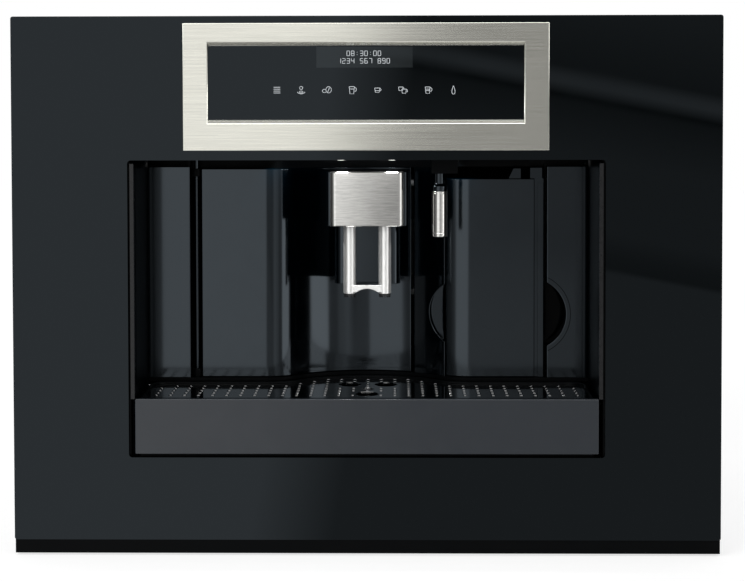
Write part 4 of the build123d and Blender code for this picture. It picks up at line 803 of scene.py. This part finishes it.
def pocket_edge(z, centre_x, straight, side):
    """X of a panel's edge at height z: the straight edge, or the pocket's circle where it bites
    in."""
    reach = np.sqrt(np.clip(POCKET_RADIUS**2 - (z - POCKET_HEIGHT) ** 2, 0, None))
    return side * np.maximum(side * (centre_x + side * reach), side * straight)


def pocket_rows(low, high, centre_x, straight, coarse=26, fine=61):
    """Heights of a panel's rows: even ones, and close ones beside the pocket, its corners
    included."""
    bite = sqrt(POCKET_RADIUS**2 - (straight - centre_x) ** 2)
    circle = POCKET_HEIGHT + RING_RADIUS * np.sin(np.linspace(-pi / 2, pi / 2, fine))
    corners = [POCKET_HEIGHT - bite, POCKET_HEIGHT + bite]
    even = np.r_[low, edge_rows(low, high, coarse), high]
    return np.unique(np.round(np.r_[even, circle, corners], 3)), bite


def pocket_floor(name, centre_x, straight, side, slot):
    """Back of a pocket: the plate between the panel's straight edge and the circle."""
    reach = sqrt(POCKET_RADIUS**2 - (straight - centre_x) ** 2)
    z = POCKET_HEIGHT + reach * np.sin(np.linspace(-pi / 2, pi / 2, 41))
    share = np.linspace(0, 1, 7)[:, None]
    start, stop = np.full(z.shape, straight), pocket_edge(z, centre_x, straight, side)
    x = start + share * (stop - start) if side > 0 else stop + share * (start - stop)
    make_piece(name, grid(x, POCKET_BACK, z), slot, "machine", wall=FLOOR_WALL)


# %% Right wall with its pocket
rows, bite = pocket_rows(DECK_TOP, WALL_TOP, RIGHT_POCKET_X, RIGHT_EDGE)
rows = np.unique(np.r_[NICHE_FLOOR, rows, CEILING])
edge_x = pocket_edge(rows, RIGHT_POCKET_X, RIGHT_EDGE, 1)
share = np.linspace(0, 1, 44)[:, None]
flat_x = edge_x + ROLL + share * (FLAT_END - edge_x - ROLL)
near = np.abs(rows - POCKET_HEIGHT) < bite
rim_depth = np.where(near, POCKET_BACK, WALL_DEPTH + LINER_WALL)
roll_x = edge_x + ROLL_ACROSS[:, None]
roll_depth = WALL_DEPTH + ROLL_BACK[:, None] + 0 * rows
corner_angle = CORNER_ANGLE[1:, None]
corner_x = FLAT_END + CORNER_ROUND * np.sin(corner_angle) + 0 * rows
corner_depth = WALL_DEPTH - CORNER_ROUND * (1 - np.cos(corner_angle)) + 0 * rows
side_depth = np.linspace(SIDE_END, LINER_FRONT, 8)[1:, None] + 0 * rows
right_x = np.vstack([edge_x, roll_x, flat_x, corner_x, LINER_INSIDE + 0 * side_depth])
right_depth = np.vstack([rim_depth, roll_depth, WALL_DEPTH + 0 * flat_x, corner_depth, side_depth])
right_wall = grid(right_x, right_depth, rows, left_out=cut_away(right_depth[:, 0], rows))
make_piece("right_lining", right_wall, "gloss_black", "machine", "niche_right_wall",
           dress="lining_black", wall=PANEL_SKIN)
pocket_floor("right_pocket_floor", RIGHT_POCKET_X, RIGHT_EDGE, 1, "satin_black")

# %% Ring round the right pocket
RING_HALF_WIDTH, RING_LIFT, RING_WALL = 0.25, 0.05, 0.2
ring_start = RIGHT_EDGE + 1 - RIGHT_POCKET_X
ring_reach = atan2(sqrt(RING_RADIUS**2 - ring_start**2), ring_start)
ring_angle = np.linspace(-ring_reach, ring_reach, 49)[:, None]
ring_radius = RING_RADIUS + RING_HALF_WIDTH * np.array([[-1.0, 1.0]])
ring = grid(RIGHT_POCKET_X + ring_radius * np.cos(ring_angle), WALL_DEPTH - RING_LIFT,
            POCKET_HEIGHT + ring_radius * np.sin(ring_angle))
make_piece("pocket_ring", ring, "satin_black", "machine", wall=RING_WALL)

# %% Centre jamb with the left pocket
JAMB_LEFT, JAMB_FACE, JAMB_RIGHT, JAMB_BACK = 41.6, 44.6, 69.0, 130.0
rows, bite = pocket_rows(DECK_TOP, PANEL_TOP, LEFT_POCKET_X, JAMB_RIGHT)
edge_x = pocket_edge(rows, LEFT_POCKET_X, JAMB_RIGHT, -1)
left_x, left_back = rolled(JAMB_LEFT, JAMB_FACE, 3, 0.0, rim_stop=False)
face_x = JAMB_FACE + np.linspace(0, 1, 24)[1:, None] * (edge_x - ROLL - JAMB_FACE)
turn_x = edge_x - ROLL_ACROSS[::-1, None]
near = np.abs(rows - POCKET_HEIGHT) < bite
jamb_x = np.vstack([left_x[:, None] + 0 * rows, face_x, turn_x, edge_x])
jamb_depth = np.vstack([
    wall_line(left_x, left_back)[:, None] + 0 * rows, wall_line(face_x),
    wall_line(turn_x) + ROLL_BACK[::-1, None], np.where(near, POCKET_BACK, JAMB_BACK),
])
jamb_depth[0] = JAMB_BACK
make_piece("jamb_panel", grid(jamb_x, jamb_depth, rows), "gloss_black", "machine", "centre_jamb",
           wall=PANEL_SKIN)
pocket_floor("left_pocket_floor", LEFT_POCKET_X, JAMB_RIGHT, -1, "gloss_black")

# %% Tank cover and the strips beside it
TANK_LEFT, COVER_RIGHT, TANK_TOP, TANK_RIGHT, TANK_RIM = 70.0, 148.6, 315.6, 156.8, 3.9
tank_front = panel(*rolled(TANK_LEFT, COVER_RIGHT, 61, TANK_RIM),
                   *rolled(PANEL_LOW, TANK_TOP, 41, TANK_RIM))
make_piece("tank_front", tank_front, "gloss_black", "water_tank", "tank_cover",
           dress="cover_black", wall=1.0)
STRIP_LEFT, STRIP_FRONT, STRIP_BACK, STRIP_DROP, SLIT_FRONT = 151.9, 89.5, 92.5, 4.0, 91.1
strip = rounded_box(STRIP_LEFT, TANK_RIGHT, STRIP_FRONT, STRIP_BACK, 0.6)
slit = rounded_box(COVER_RIGHT - 1.4, STRIP_LEFT + 0.8, SLIT_FRONT, STRIP_BACK, 0.4)
strips = joined(*(bar(outline, PANEL_LOW, TANK_TOP - STRIP_DROP) for outline in (strip, slit)))
make_piece("tank_edge_strip", strips, "gloss_black", "water_tank")

# %% Dark shield above the panels
SHIELD_BACK = 13.0


def shield(start, stop, low):
    """Upright sheet behind the panels' top edges, on a line parallel to the wall."""
    x = np.linspace(start, stop, 41)[:, None]
    return grid(x, wall_line(x, SHIELD_BACK), [low, CEILING])


shields = [shield(-194, 68, 323.4), shield(68, 158, 326.0), shield(158, 194, 323.4)]
make_piece("panel_top_shield", joined(*shields), "satin_black", "machine", wall=1.0)

# %% [markdown]
# ## Coffee spout
# A black carriage rides on the door and carries a cap of brushed steel. The cap is one sheet bent
# round the nose of the head: its plan is a box with two round corners, and its top edge is rolled
# over and closed. Two black cheeks stand beside it, a little behind its face. Two polished tubes
# hang under it, tied by a bridge with an arch. The tubes are turned, the bridge is an outline
# pushed back, and the carriage is a stack of upright bars with softened edges.

# %% Spout cover
COVER_HALF, COVER_FRONT, COVER_BACK, COVER_ROUND = 32.2, 45.0, 56.0, 5.2
COVER_LOW, COVER_HIGH, COVER_SHEET, TOP_ROLL = 276.1, 323.7, 1.5, 1.4


def cover_plan(inset, radius, steps):
    """The cap seen from above, drawn in by inset: round the front, rear right, rear left."""
    return rounded_box(-COVER_HALF + inset, COVER_HALF - inset, COVER_FRONT + inset, COVER_BACK,
                       radius, steps, (1, 1, 0, 0))


levels = [(0.0, COVER_LOW)]
levels += [(0.0, z) for z in np.linspace(COVER_LOW + 1, COVER_HIGH - TOP_ROLL, 8)]
levels += [(TOP_ROLL * (1 - cos(angle)), COVER_HIGH - TOP_ROLL * (1 - sin(angle)))
           for angle in np.linspace(0, pi / 2, 6)[1:]]
rings = np.stack([
    np.insert(np.roll(cover_plan(inset, COVER_ROUND - inset, 12), 1, axis=0), 2, z, axis=1)
    for inset, z in levels
], axis=1)
points, faces = grid(*np.moveaxis(rings, -1, 0))
faces.append(np.arange(len(points)).reshape(rings.shape[:2])[:, -1].tolist())
make_piece("spout_cap", (points, faces), "spout_steel", "coffee_spout", "spout_cover",
           wall=COVER_SHEET)

# %% Tubes and bridge
TUBE_X, TUBE_DEPTH, TUBE_RADIUS, TUBE_WALL, TUBE_LOW, TUBE_TOP = 15.3, 57.0, 5.6, 1.2, 216.7, 296.6
BRIDGE_LOW, BRIDGE_HIGH, ARCH_RADIUS, ARCH_DROP = TUBE_LOW + 1.2, TUBE_LOW + 7.6, 15.5, 12.4
BRIDGE_INSET, BRIDGE_THICK = 0.6, 5.4
tubes = [tube(side * TUBE_X, TUBE_DEPTH, TUBE_LOW, TUBE_TOP, TUBE_RADIUS - TUBE_WALL, TUBE_RADIUS,
              0.5, 56) for side in (-1, 1)]
arch_angle = np.linspace(-1, 1, 25) * atan2(sqrt(ARCH_RADIUS**2 - ARCH_DROP**2), ARCH_DROP)
arch_x = ARCH_RADIUS * np.sin(arch_angle)
arch_z = BRIDGE_LOW - ARCH_DROP + ARCH_RADIUS * np.cos(arch_angle)
bridge = np.vstack([[(-TUBE_X, BRIDGE_LOW)], np.column_stack([arch_x, arch_z]),
                    [(TUBE_X, BRIDGE_LOW), (TUBE_X, BRIDGE_HIGH), (-TUBE_X, BRIDGE_HIGH)]])
bridge_front = TUBE_DEPTH - TUBE_RADIUS + BRIDGE_INSET
make_piece("tube_pair", joined(*tubes), "polished_steel", "coffee_spout", "spout_tubes")
make_piece("tube_bridge", bar(bridge, bridge_front, bridge_front + BRIDGE_THICK, upright=False),
           "polished_steel", "coffee_spout", edge=0.5)

# %% Carriage
SPOUT_HALF, SPOUT_LOW, SPOUT_FRONT, SPOUT_BACK, FRONT_ROUND = 29.0, 224.0, 66.0, 112.0, 8.0
HEAD_HALF, CHEEK_REACH, CHEEK_FRONT, CHEEK_ROUND, HEAD_BACK = 35.0, 3.4, 49.5, 2.5, 100.0
SLIDE_HIGH, SLIDE_LOW = 314.7, 286.7
head_inset, head_top = COVER_SHEET + 0.3, COVER_HIGH - COVER_SHEET - 0.3
nose = cover_plan(head_inset, COVER_ROUND - COVER_SHEET, 8)
inner = HEAD_HALF - CHEEK_REACH
cheek = (CHEEK_FRONT, HEAD_BACK, CHEEK_ROUND, 6)
head = rounded_box(-HEAD_HALF, HEAD_HALF, COVER_BACK + 0.1, HEAD_BACK, 0.5)
lower = rounded_box(-SPOUT_HALF, SPOUT_HALF, SPOUT_FRONT, SPOUT_BACK, FRONT_ROUND, 10, (1, 1, 0, 0))
# Outline of each bar, its foot and its head: the last three reach through the door's slot.
carriage = [
    (nose, COVER_LOW + 0.5, head_top),
    (rounded_box(-HEAD_HALF, -inner, *cheek, (1, 0, 0, 0)), COVER_LOW, COVER_HIGH - 0.4),
    (rounded_box(inner, HEAD_HALF, *cheek, (0, 1, 0, 0)), COVER_LOW, COVER_HIGH - 0.4),
    (head, COVER_LOW, COVER_HIGH - 0.2),
    (lower, SPOUT_LOW, head_top - 1),
    (rounded_box(-12, 12, 106, 124, 1.5), SLIDE_LOW - 8, SLIDE_HIGH + 4),
    (rounded_box(-5.5, 5.5, 123, 130, 0.8), SLIDE_LOW, SLIDE_HIGH),
    (rounded_box(-14, 14, 129.4, 131.8, 0.8), SLIDE_LOW - 4, SLIDE_HIGH + 0.3),
]
make_piece("spout_body", joined(*(bar(*part) for part in carriage)), "gloss_black", "coffee_spout",
           "spout_carriage", edge=1.0)

# %% [markdown]
# ## Hot-water spout
# A plug-in spout: a slim neck, a collar to hold it by, and a brushed steel sleeve with a turned
# groove near each end. All three are profiles carried round one upright axis.

# %% Neck, collar and sleeve
HOT_X, HOT_DEPTH, HOT_TOP, COLLAR_HIGH = 62.9, 46.0, 322.3, 311.6
SLEEVE_LOW, SLEEVE_HIGH = 267.4, 306.7
neck = measured(
    (HOT_TOP, [(0, 9), (3.0, 9), (3.0, 0), (4.2, 0), (4.5, -0.5)]),
    (COLLAR_HIGH, [(4.5, 2.0), (5.2, 0.6), (6.2, 0), (6.7, -0.8)]),
    (SLEEVE_HIGH, [(6.7, 0.6), (6.3, 0), (5.4, 0)]),
    (SLEEVE_LOW, [(5.4, 1.5), (2.5, 1.5), (2.5, 12), (0, 12)]),
)
sleeve = measured(
    (SLEEVE_LOW, [(5.5, 0), (6.3, 0), (6.7, 0.5), (6.7, 2.6), (6.35, 2.9), (6.35, 3.3),
                  (6.7, 3.6)]),
    (SLEEVE_HIGH, [(6.7, -2.4), (6.35, -2.1), (6.35, -1.7), (6.7, -1.4), (6.7, -0.4), (6.4, 0),
                   (5.5, 0)]),
    (SLEEVE_LOW, [(5.5, 0)]),
)
make_piece("hot_water_neck", turned(neck, HOT_X, HOT_DEPTH, 48), "gloss_black", "hot_water_spout",
           "hot_water_spout")
make_piece("hot_water_sleeve", turned(sleeve, HOT_X, HOT_DEPTH, 64), "spout_steel",
           "hot_water_spout", "spout_sleeve")

# %% [markdown]
# ## Drip tray
# The tray's front is a plain gloss bar with a soft upper edge, which draws one light line under the
# grille. Its rear rim is a bead that follows the wall line five millimetres in front of it, round
# two corners at the ends. Each small hole of the grille has a pressed collar, whose rounded far
# side catches the light from above: those are the bright dashes in the photograph. The stem of the
# float stands in a round opening among them.

# %% Tray front
TRAY_HALF, TRAY_LOW, TRAY_TOP, TRAY_FRONT = 195.6, 86.7, 133.1, 5.0
front_section = rounded_box(-TRAY_HALF, TRAY_HALF, TRAY_LOW, TRAY_TOP, 0.9, 4)
make_piece("tray_face", bar(front_section, 0.0, TRAY_FRONT, upright=False), "tray_gloss",
           "drip_tray", "tray_front", edge=0.4)

# %% Path of the rear rim
BASIN_HALF, RIM_GAP, LIP_TOP, TRAY_WALL, TRAY_CORNER, BEAD_END = 192.0, 5.0, 134.8, 2.5, 16.0, 14.0


def rim_path():
    """X and depth along the middle of the tray's rear wall, from its left end to its right end."""
    half, radius = BASIN_HALF - TRAY_WALL / 2, TRAY_CORNER - TRAY_WALL / 2
    x = np.linspace(-half + radius, half - radius, 181)
    depth = wall_line(x, -(RIM_GAP + TRAY_WALL / 2))
    angle = np.linspace(0, pi / 2, 10)[:-1]
    corner_x = half - radius + radius * np.cos(angle)
    corner_depth = depth[0] - radius + radius * np.sin(angle)
    side = np.linspace(depth[0] - radius - BEAD_END, depth[0] - radius, 4)[:-1]
    left = np.column_stack([np.r_[np.full(3, -half), -corner_x], np.r_[side, corner_depth]])
    return np.vstack([left, np.column_stack([x, depth]), left[::-1] * (-1, 1)])


def square_to(path):
    """Unit directions square to a plan path, at each of its points."""
    along = np.gradient(path, axis=0)
    along /= np.linalg.norm(along, axis=1, keepdims=True)
    return np.column_stack([-along[:, 1], along[:, 0]])


def swept(path, profile):
    """Points and faces of a closed profile of (outward, height) carried along a plan path, with its
    two ends closed. At each point the profile stands square to the path."""
    plan = path[None] + profile[:, :1, None] * square_to(path)[None]
    points, faces = grid(plan[..., 0], plan[..., 1], profile[:, 1:2], round_rows=True)
    index = np.arange(len(points)).reshape(plan.shape[:2])
    return points, [*faces, index[:, 0].tolist(), index[:, -1].tolist()]


# %% Rear bead
BEAD_OVERHANG, BEAD_LIFT, BEAD_FOOT = 0.12, 0.1, 0.2
bead_angle = np.linspace(0, pi, 9)
bead_radius = TRAY_WALL / 2 + BEAD_OVERHANG
bead_z = LIP_TOP - bead_radius + BEAD_LIFT + bead_radius * np.sin(bead_angle)
bead = np.vstack([np.column_stack([bead_radius * np.cos(bead_angle), bead_z]),
                  [(-bead_radius, TRAY_TOP + BEAD_FOOT), (bead_radius, TRAY_TOP + BEAD_FOOT)]])
make_piece("tray_rear_bead", swept(rim_path(), bead), "satin_black", "drip_tray")

# %% Holes of the grille
PITCH, HOLE_RADIUS, FIRST_ROW, ROW_COUNT, COLUMN_COUNT = 12.0, 1.5, 19.6, 8, 15
WALL_CLEAR, HOLE_CLEAR = 13.3, 4.0
BIG_HOLES = ((0.0, 27.4, 10.0), (-16.0, 78.0, 10.0), (16.0, 78.0, 10.0), (0.0, 53.0, 5.25))


def hole_centres():
    """X and depth of the small holes: a square lattice, less what lies past the rim, at the two
    rear corners, or too near a drain hole."""
    column, row = np.meshgrid(np.arange(-COLUMN_COUNT, COLUMN_COUNT + 1), np.arange(ROW_COUNT))
    x, depth = column.ravel() * PITCH, FIRST_ROW + row.ravel() * PITCH
    kept = depth <= wall_line(x, -WALL_CLEAR) + 1
    kept &= (np.abs(x) <= BASIN_HALF - TRAY_CORNER) | (row.ravel() <= 3)
    for hole_x, hole_depth, radius in BIG_HOLES:
        kept &= np.hypot(x - hole_x, depth - hole_depth) > radius + HOLE_CLEAR
    return x[kept], depth[kept]


# %% Collars
COLLAR_LIFT, COLLAR_SINK = 0.15, 0.75


def collars(x, depth, radius, width, steps):
    """Rings round holes: a small closed four-cornered section carried round each hole's edge."""
    reach, height = np.array([
        (radius + width, -0.05), (radius + width * 0.7, COLLAR_LIFT), (radius - 0.04, -COLLAR_SINK),
        (radius + width, -COLLAR_SINK)]).T[..., None]
    angle = np.linspace(0, 2 * pi, steps, endpoint=False)
    index = np.arange(4 * steps).reshape(4, steps)
    after, below = np.roll(index, -1, axis=1), np.roll(index, -1, axis=0)
    quads = np.stack([index, after, np.roll(after, -1, axis=0), below], axis=-1)
    ring_x, ring_depth = (reach * np.cos(angle)).ravel(), (reach * np.sin(angle)).ravel()
    points = place(x[:, None] + ring_x, depth[:, None] + ring_depth,
                   np.repeat(TRAY_TOP + height, steps))
    starts = np.arange(len(x))[:, None, None] * 4 * steps
    return points.reshape(-1, 3), (quads.reshape(1, -1, 4) + starts).reshape(-1, 4).tolist()


hole_x, hole_depth = hole_centres()
small = collars(hole_x, hole_depth, HOLE_RADIUS, 0.55, 12)
large = [collars(np.array([x]), np.array([d]), radius, 0.9, 48) for x, d, radius in BIG_HOLES]
make_piece("grille_collars", joined(small, *large), "grille_gloss", "cup_grille").data.shade_flat()
print("small holes", len(hole_x))

# %% Float
FLOAT_DEPTH = 53.0
foot, stem_top = (corner.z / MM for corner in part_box("level_float"))
float_profile = measured(
    (foot, [(0, 0), (11.2, 0), (12.0, 0.8), (12.0, 9.2), (11.2, 10), (4.95, 10)]),
    (stem_top, [(4.95, -0.5), (4.45, 0), (0, 0)]),
)
make_piece("float_body", turned(float_profile, 0.0, FLOAT_DEPTH), "works_black", "level_float",
           "level_float")

# %% Lamp lenses
LENS_DEPTH, LENS_RADIUS, LENS_DROP, LENS_TOP = 25.0, 7.6, 2.0, 338.0
dome = np.linspace(0, pi / 2, 8)
dome_edge = np.column_stack([LENS_RADIUS * np.sin(dome), CEILING - LENS_DROP * np.cos(dome)])
lens_profile = np.vstack([dome_edge, [(LENS_RADIUS, LENS_TOP), (0, LENS_TOP)]])
lenses = joined(*(turned(lens_profile, side * LAMP_X, LENS_DEPTH) for side in (-1, 1)))
make_piece("niche_lenses", lenses, "lamp_lens", "machine", "lamp_lenses")

# %% [markdown]
# ## Control panel
# The steel surround is one pressed frame: a flat face, a bevel down to the window and a small
# radius on the outside. It is a set of rectangles, one for each line of the section, joined in
# turn.

# %% Steel surround
# Half width, lower edge, upper edge and depth of each rectangle, from the window outwards.
SURROUND = [
    (131.9, 369.0, 430.6, 0.0), (131.9, 369.0, 430.6, -1.8), (132.0, 368.7, 430.9, -2.1),
    (132.6, 366.0, 433.6, -5.7), (132.9, 365.3, 434.3, -6.0), (152.5, 343.7, 449.2, -6.0),
    (152.85, 343.35, 449.55, -5.85), (153.0, 343.2, 449.7, -5.5), (153.0, 343.2, 449.7, 0.0),
]
half, z_low, z_high, deep = np.array(SURROUND).T[..., None]
sign_x, is_high = np.array([-1, 1, 1, -1, -1]), np.array([0, 0, 1, 1, 0])
surround = grid(half * sign_x, deep, z_low + (z_high - z_low) * is_high, round_rows=True)
make_piece("steel_surround", surround, "brushed_steel", "machine", "control_surround")

# %% [markdown]
# ## Display
# Two lines of plain digits stand in a slightly lighter band, over a row of eight touch symbols.
# Each stroke is a ribbon: the path's two edges lie half a width to either side of it, square to its
# direction. Digits are built of seven bars, as on any segment display. The ink glows faintly.

# %% Ink, film and ribbon
WINDOW_FACE = (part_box("display_window")[0].y - glass_face) / MM
INK_LIFT, INK_WALL, FILM_WALL, FILM_BEHIND = 0.08, 0.05, 0.04, 0.03
uneven("lit_ink", "lit_display_ink", "c9ced2", 0.002, 0.4, 0.6, IOR=1.45,
       Emission_Color=linear("c9ced2"), Emission_Strength=0.12)
uneven("display_film", "display_film", "1c1f20", 0.01, 0.02, 0.05, **coated)


def ribbon(path, width):
    """Flat strip along a path of x and height in millimetres, seen from the front."""
    path = np.asarray(path, float)
    square = square_to(path) * width / 2
    plan = np.stack([path + square, path - square])
    return grid(plan[..., 0], WINDOW_FACE - INK_LIFT, plan[..., 1])


def ink_piece(name, strokes):
    """Piece of all the strokes, in lit ink on the window."""
    make_piece(name, joined(*strokes), "lamp_lens", "machine", dress="lit_ink", wall=INK_WALL)


# %% Digits and their band
SEGMENTS = {"0": "abcdef", "1": "bc", "2": "abdeg", "3": "abcdg", "4": "bcfg", "5": "acdfg",
            "6": "acdefg", "7": "abc", "8": "abcdefg", "9": "abcdfg", ":": "pq", " ": ""}
BARS = {"a": [(0, 2), (1, 2)], "b": [(1, 2), (1, 1)], "c": [(1, 1), (1, 0)], "d": [(0, 0), (1, 0)],
        "e": [(0, 1), (0, 0)], "f": [(0, 2), (0, 1)], "g": [(0, 1), (1, 1)],
        "p": [(0.4, 1.5), (0.6, 1.5)], "q": [(0.4, 0.5), (0.6, 0.5)]}
DIGIT_PITCH, DIGIT_WIDTH, DIGIT_HEIGHT, STROKE, TEXT_X = 3.72, 2.3, 4.0, 0.42, -1.6
LINES = (("08:30:00", 422.4), ("1234 567 890", 416.1))
BAND_LEFT, BAND_RIGHT, BAND_Z, BAND_HEIGHT = -41.3, 39.2, 421.2, 17.4
strokes = []
for words, height in LINES:
    start = TEXT_X - (len(words) * DIGIT_PITCH) / 2 + (DIGIT_PITCH - DIGIT_WIDTH) / 2
    for order, sign in enumerate(words):
        corner = np.array([start + order * DIGIT_PITCH, height])
        for segment in SEGMENTS[sign]:
            path = corner + np.array(BARS[segment]) * (DIGIT_WIDTH, DIGIT_HEIGHT / 2)
            strokes.append(ribbon(path, STROKE))
ink_piece("display_digits", strokes)
band = ribbon([(BAND_LEFT, BAND_Z), (BAND_RIGHT, BAND_Z)], BAND_HEIGHT)
band[0][:, 1] += mm(FILM_BEHIND)
make_piece("display_band", band, "window_glass", "machine", dress="display_film", wall=FILM_WALL)

# %% Strokes of the symbols
def arc(x, z, radius, start, stop, flat=1.0):
    """Part of an ellipse round x, z from one angle to another in degrees."""
    angle = np.radians(np.linspace(start, stop, 17))
    return np.column_stack([x + radius * np.cos(angle), z + flat * radius * np.sin(angle)])


def cup(x, z, width, height):
    """A cup seen from the side: the bowl, its rim and its handle."""
    rim, foot = width / 2, width * 0.36
    bowl = [(x - rim, z + height), (x - foot, z), (x + foot, z), (x + rim, z + height)]
    return [bowl, bowl[::3], arc(x + width * 0.47, z + height * 0.6, height * 0.3, -80, 80)]


def drop():
    """A drop: a tall ellipse whose width fades to nothing at the top."""
    angle = np.linspace(0, 2 * pi, 33)
    return np.column_stack([-1.9 * np.sin(angle) * np.sin(angle / 2) ** 1.5, 3.6 * np.cos(angle)])


# %% Touch symbols
SYMBOL_X, SYMBOL_Z = [-74.4, -54.1, -32.7, -11.3, 10.1, 31.0, 52.4, 73.3], 393.8
symbols = [
    [[(-2.8, level), (2.8, level)] for level in (-2.4, -0.8, 0.8, 2.4)],
    [arc(0, -1.2, 3.2, 190, 350, 0.6), arc(0, -1.6, 1.6, 0, 360, 0.5), arc(0, 1.8, 1.3, 0, 360)],
    [arc(-2, -0.8, 1.7, 0, 360, 0.8), arc(1.6, 0.2, 2.3, 0, 360, 1.15), [(0.7, -1.8), (2.4, 2.1)]],
    [*cup(-0.4, -3.2, 4.4, 6.0), [(-2.3, 0.8), (1.6, 0.8)]],
    [*cup(-0.5, -2.0, 4.4, 3.6), [(-2.2, -0.6), (1.2, -0.6)]],
    [*cup(-1.8, -0.6, 3.8, 3.0), *cup(1.0, -2.8, 4.0, 3.4)],
    [*cup(-0.6, -3.0, 4.0, 5.4), [(-2.3, 0.6), (1.1, 0.6)], [(-2.2, -0.6), (1.0, -0.6)]],
    [drop()],
]
ink_piece("touch_symbols", [ribbon(np.asarray(path, float) + (x, SYMBOL_Z), STROKE)
                            for x, paths in zip(SYMBOL_X, symbols) for path in paths])
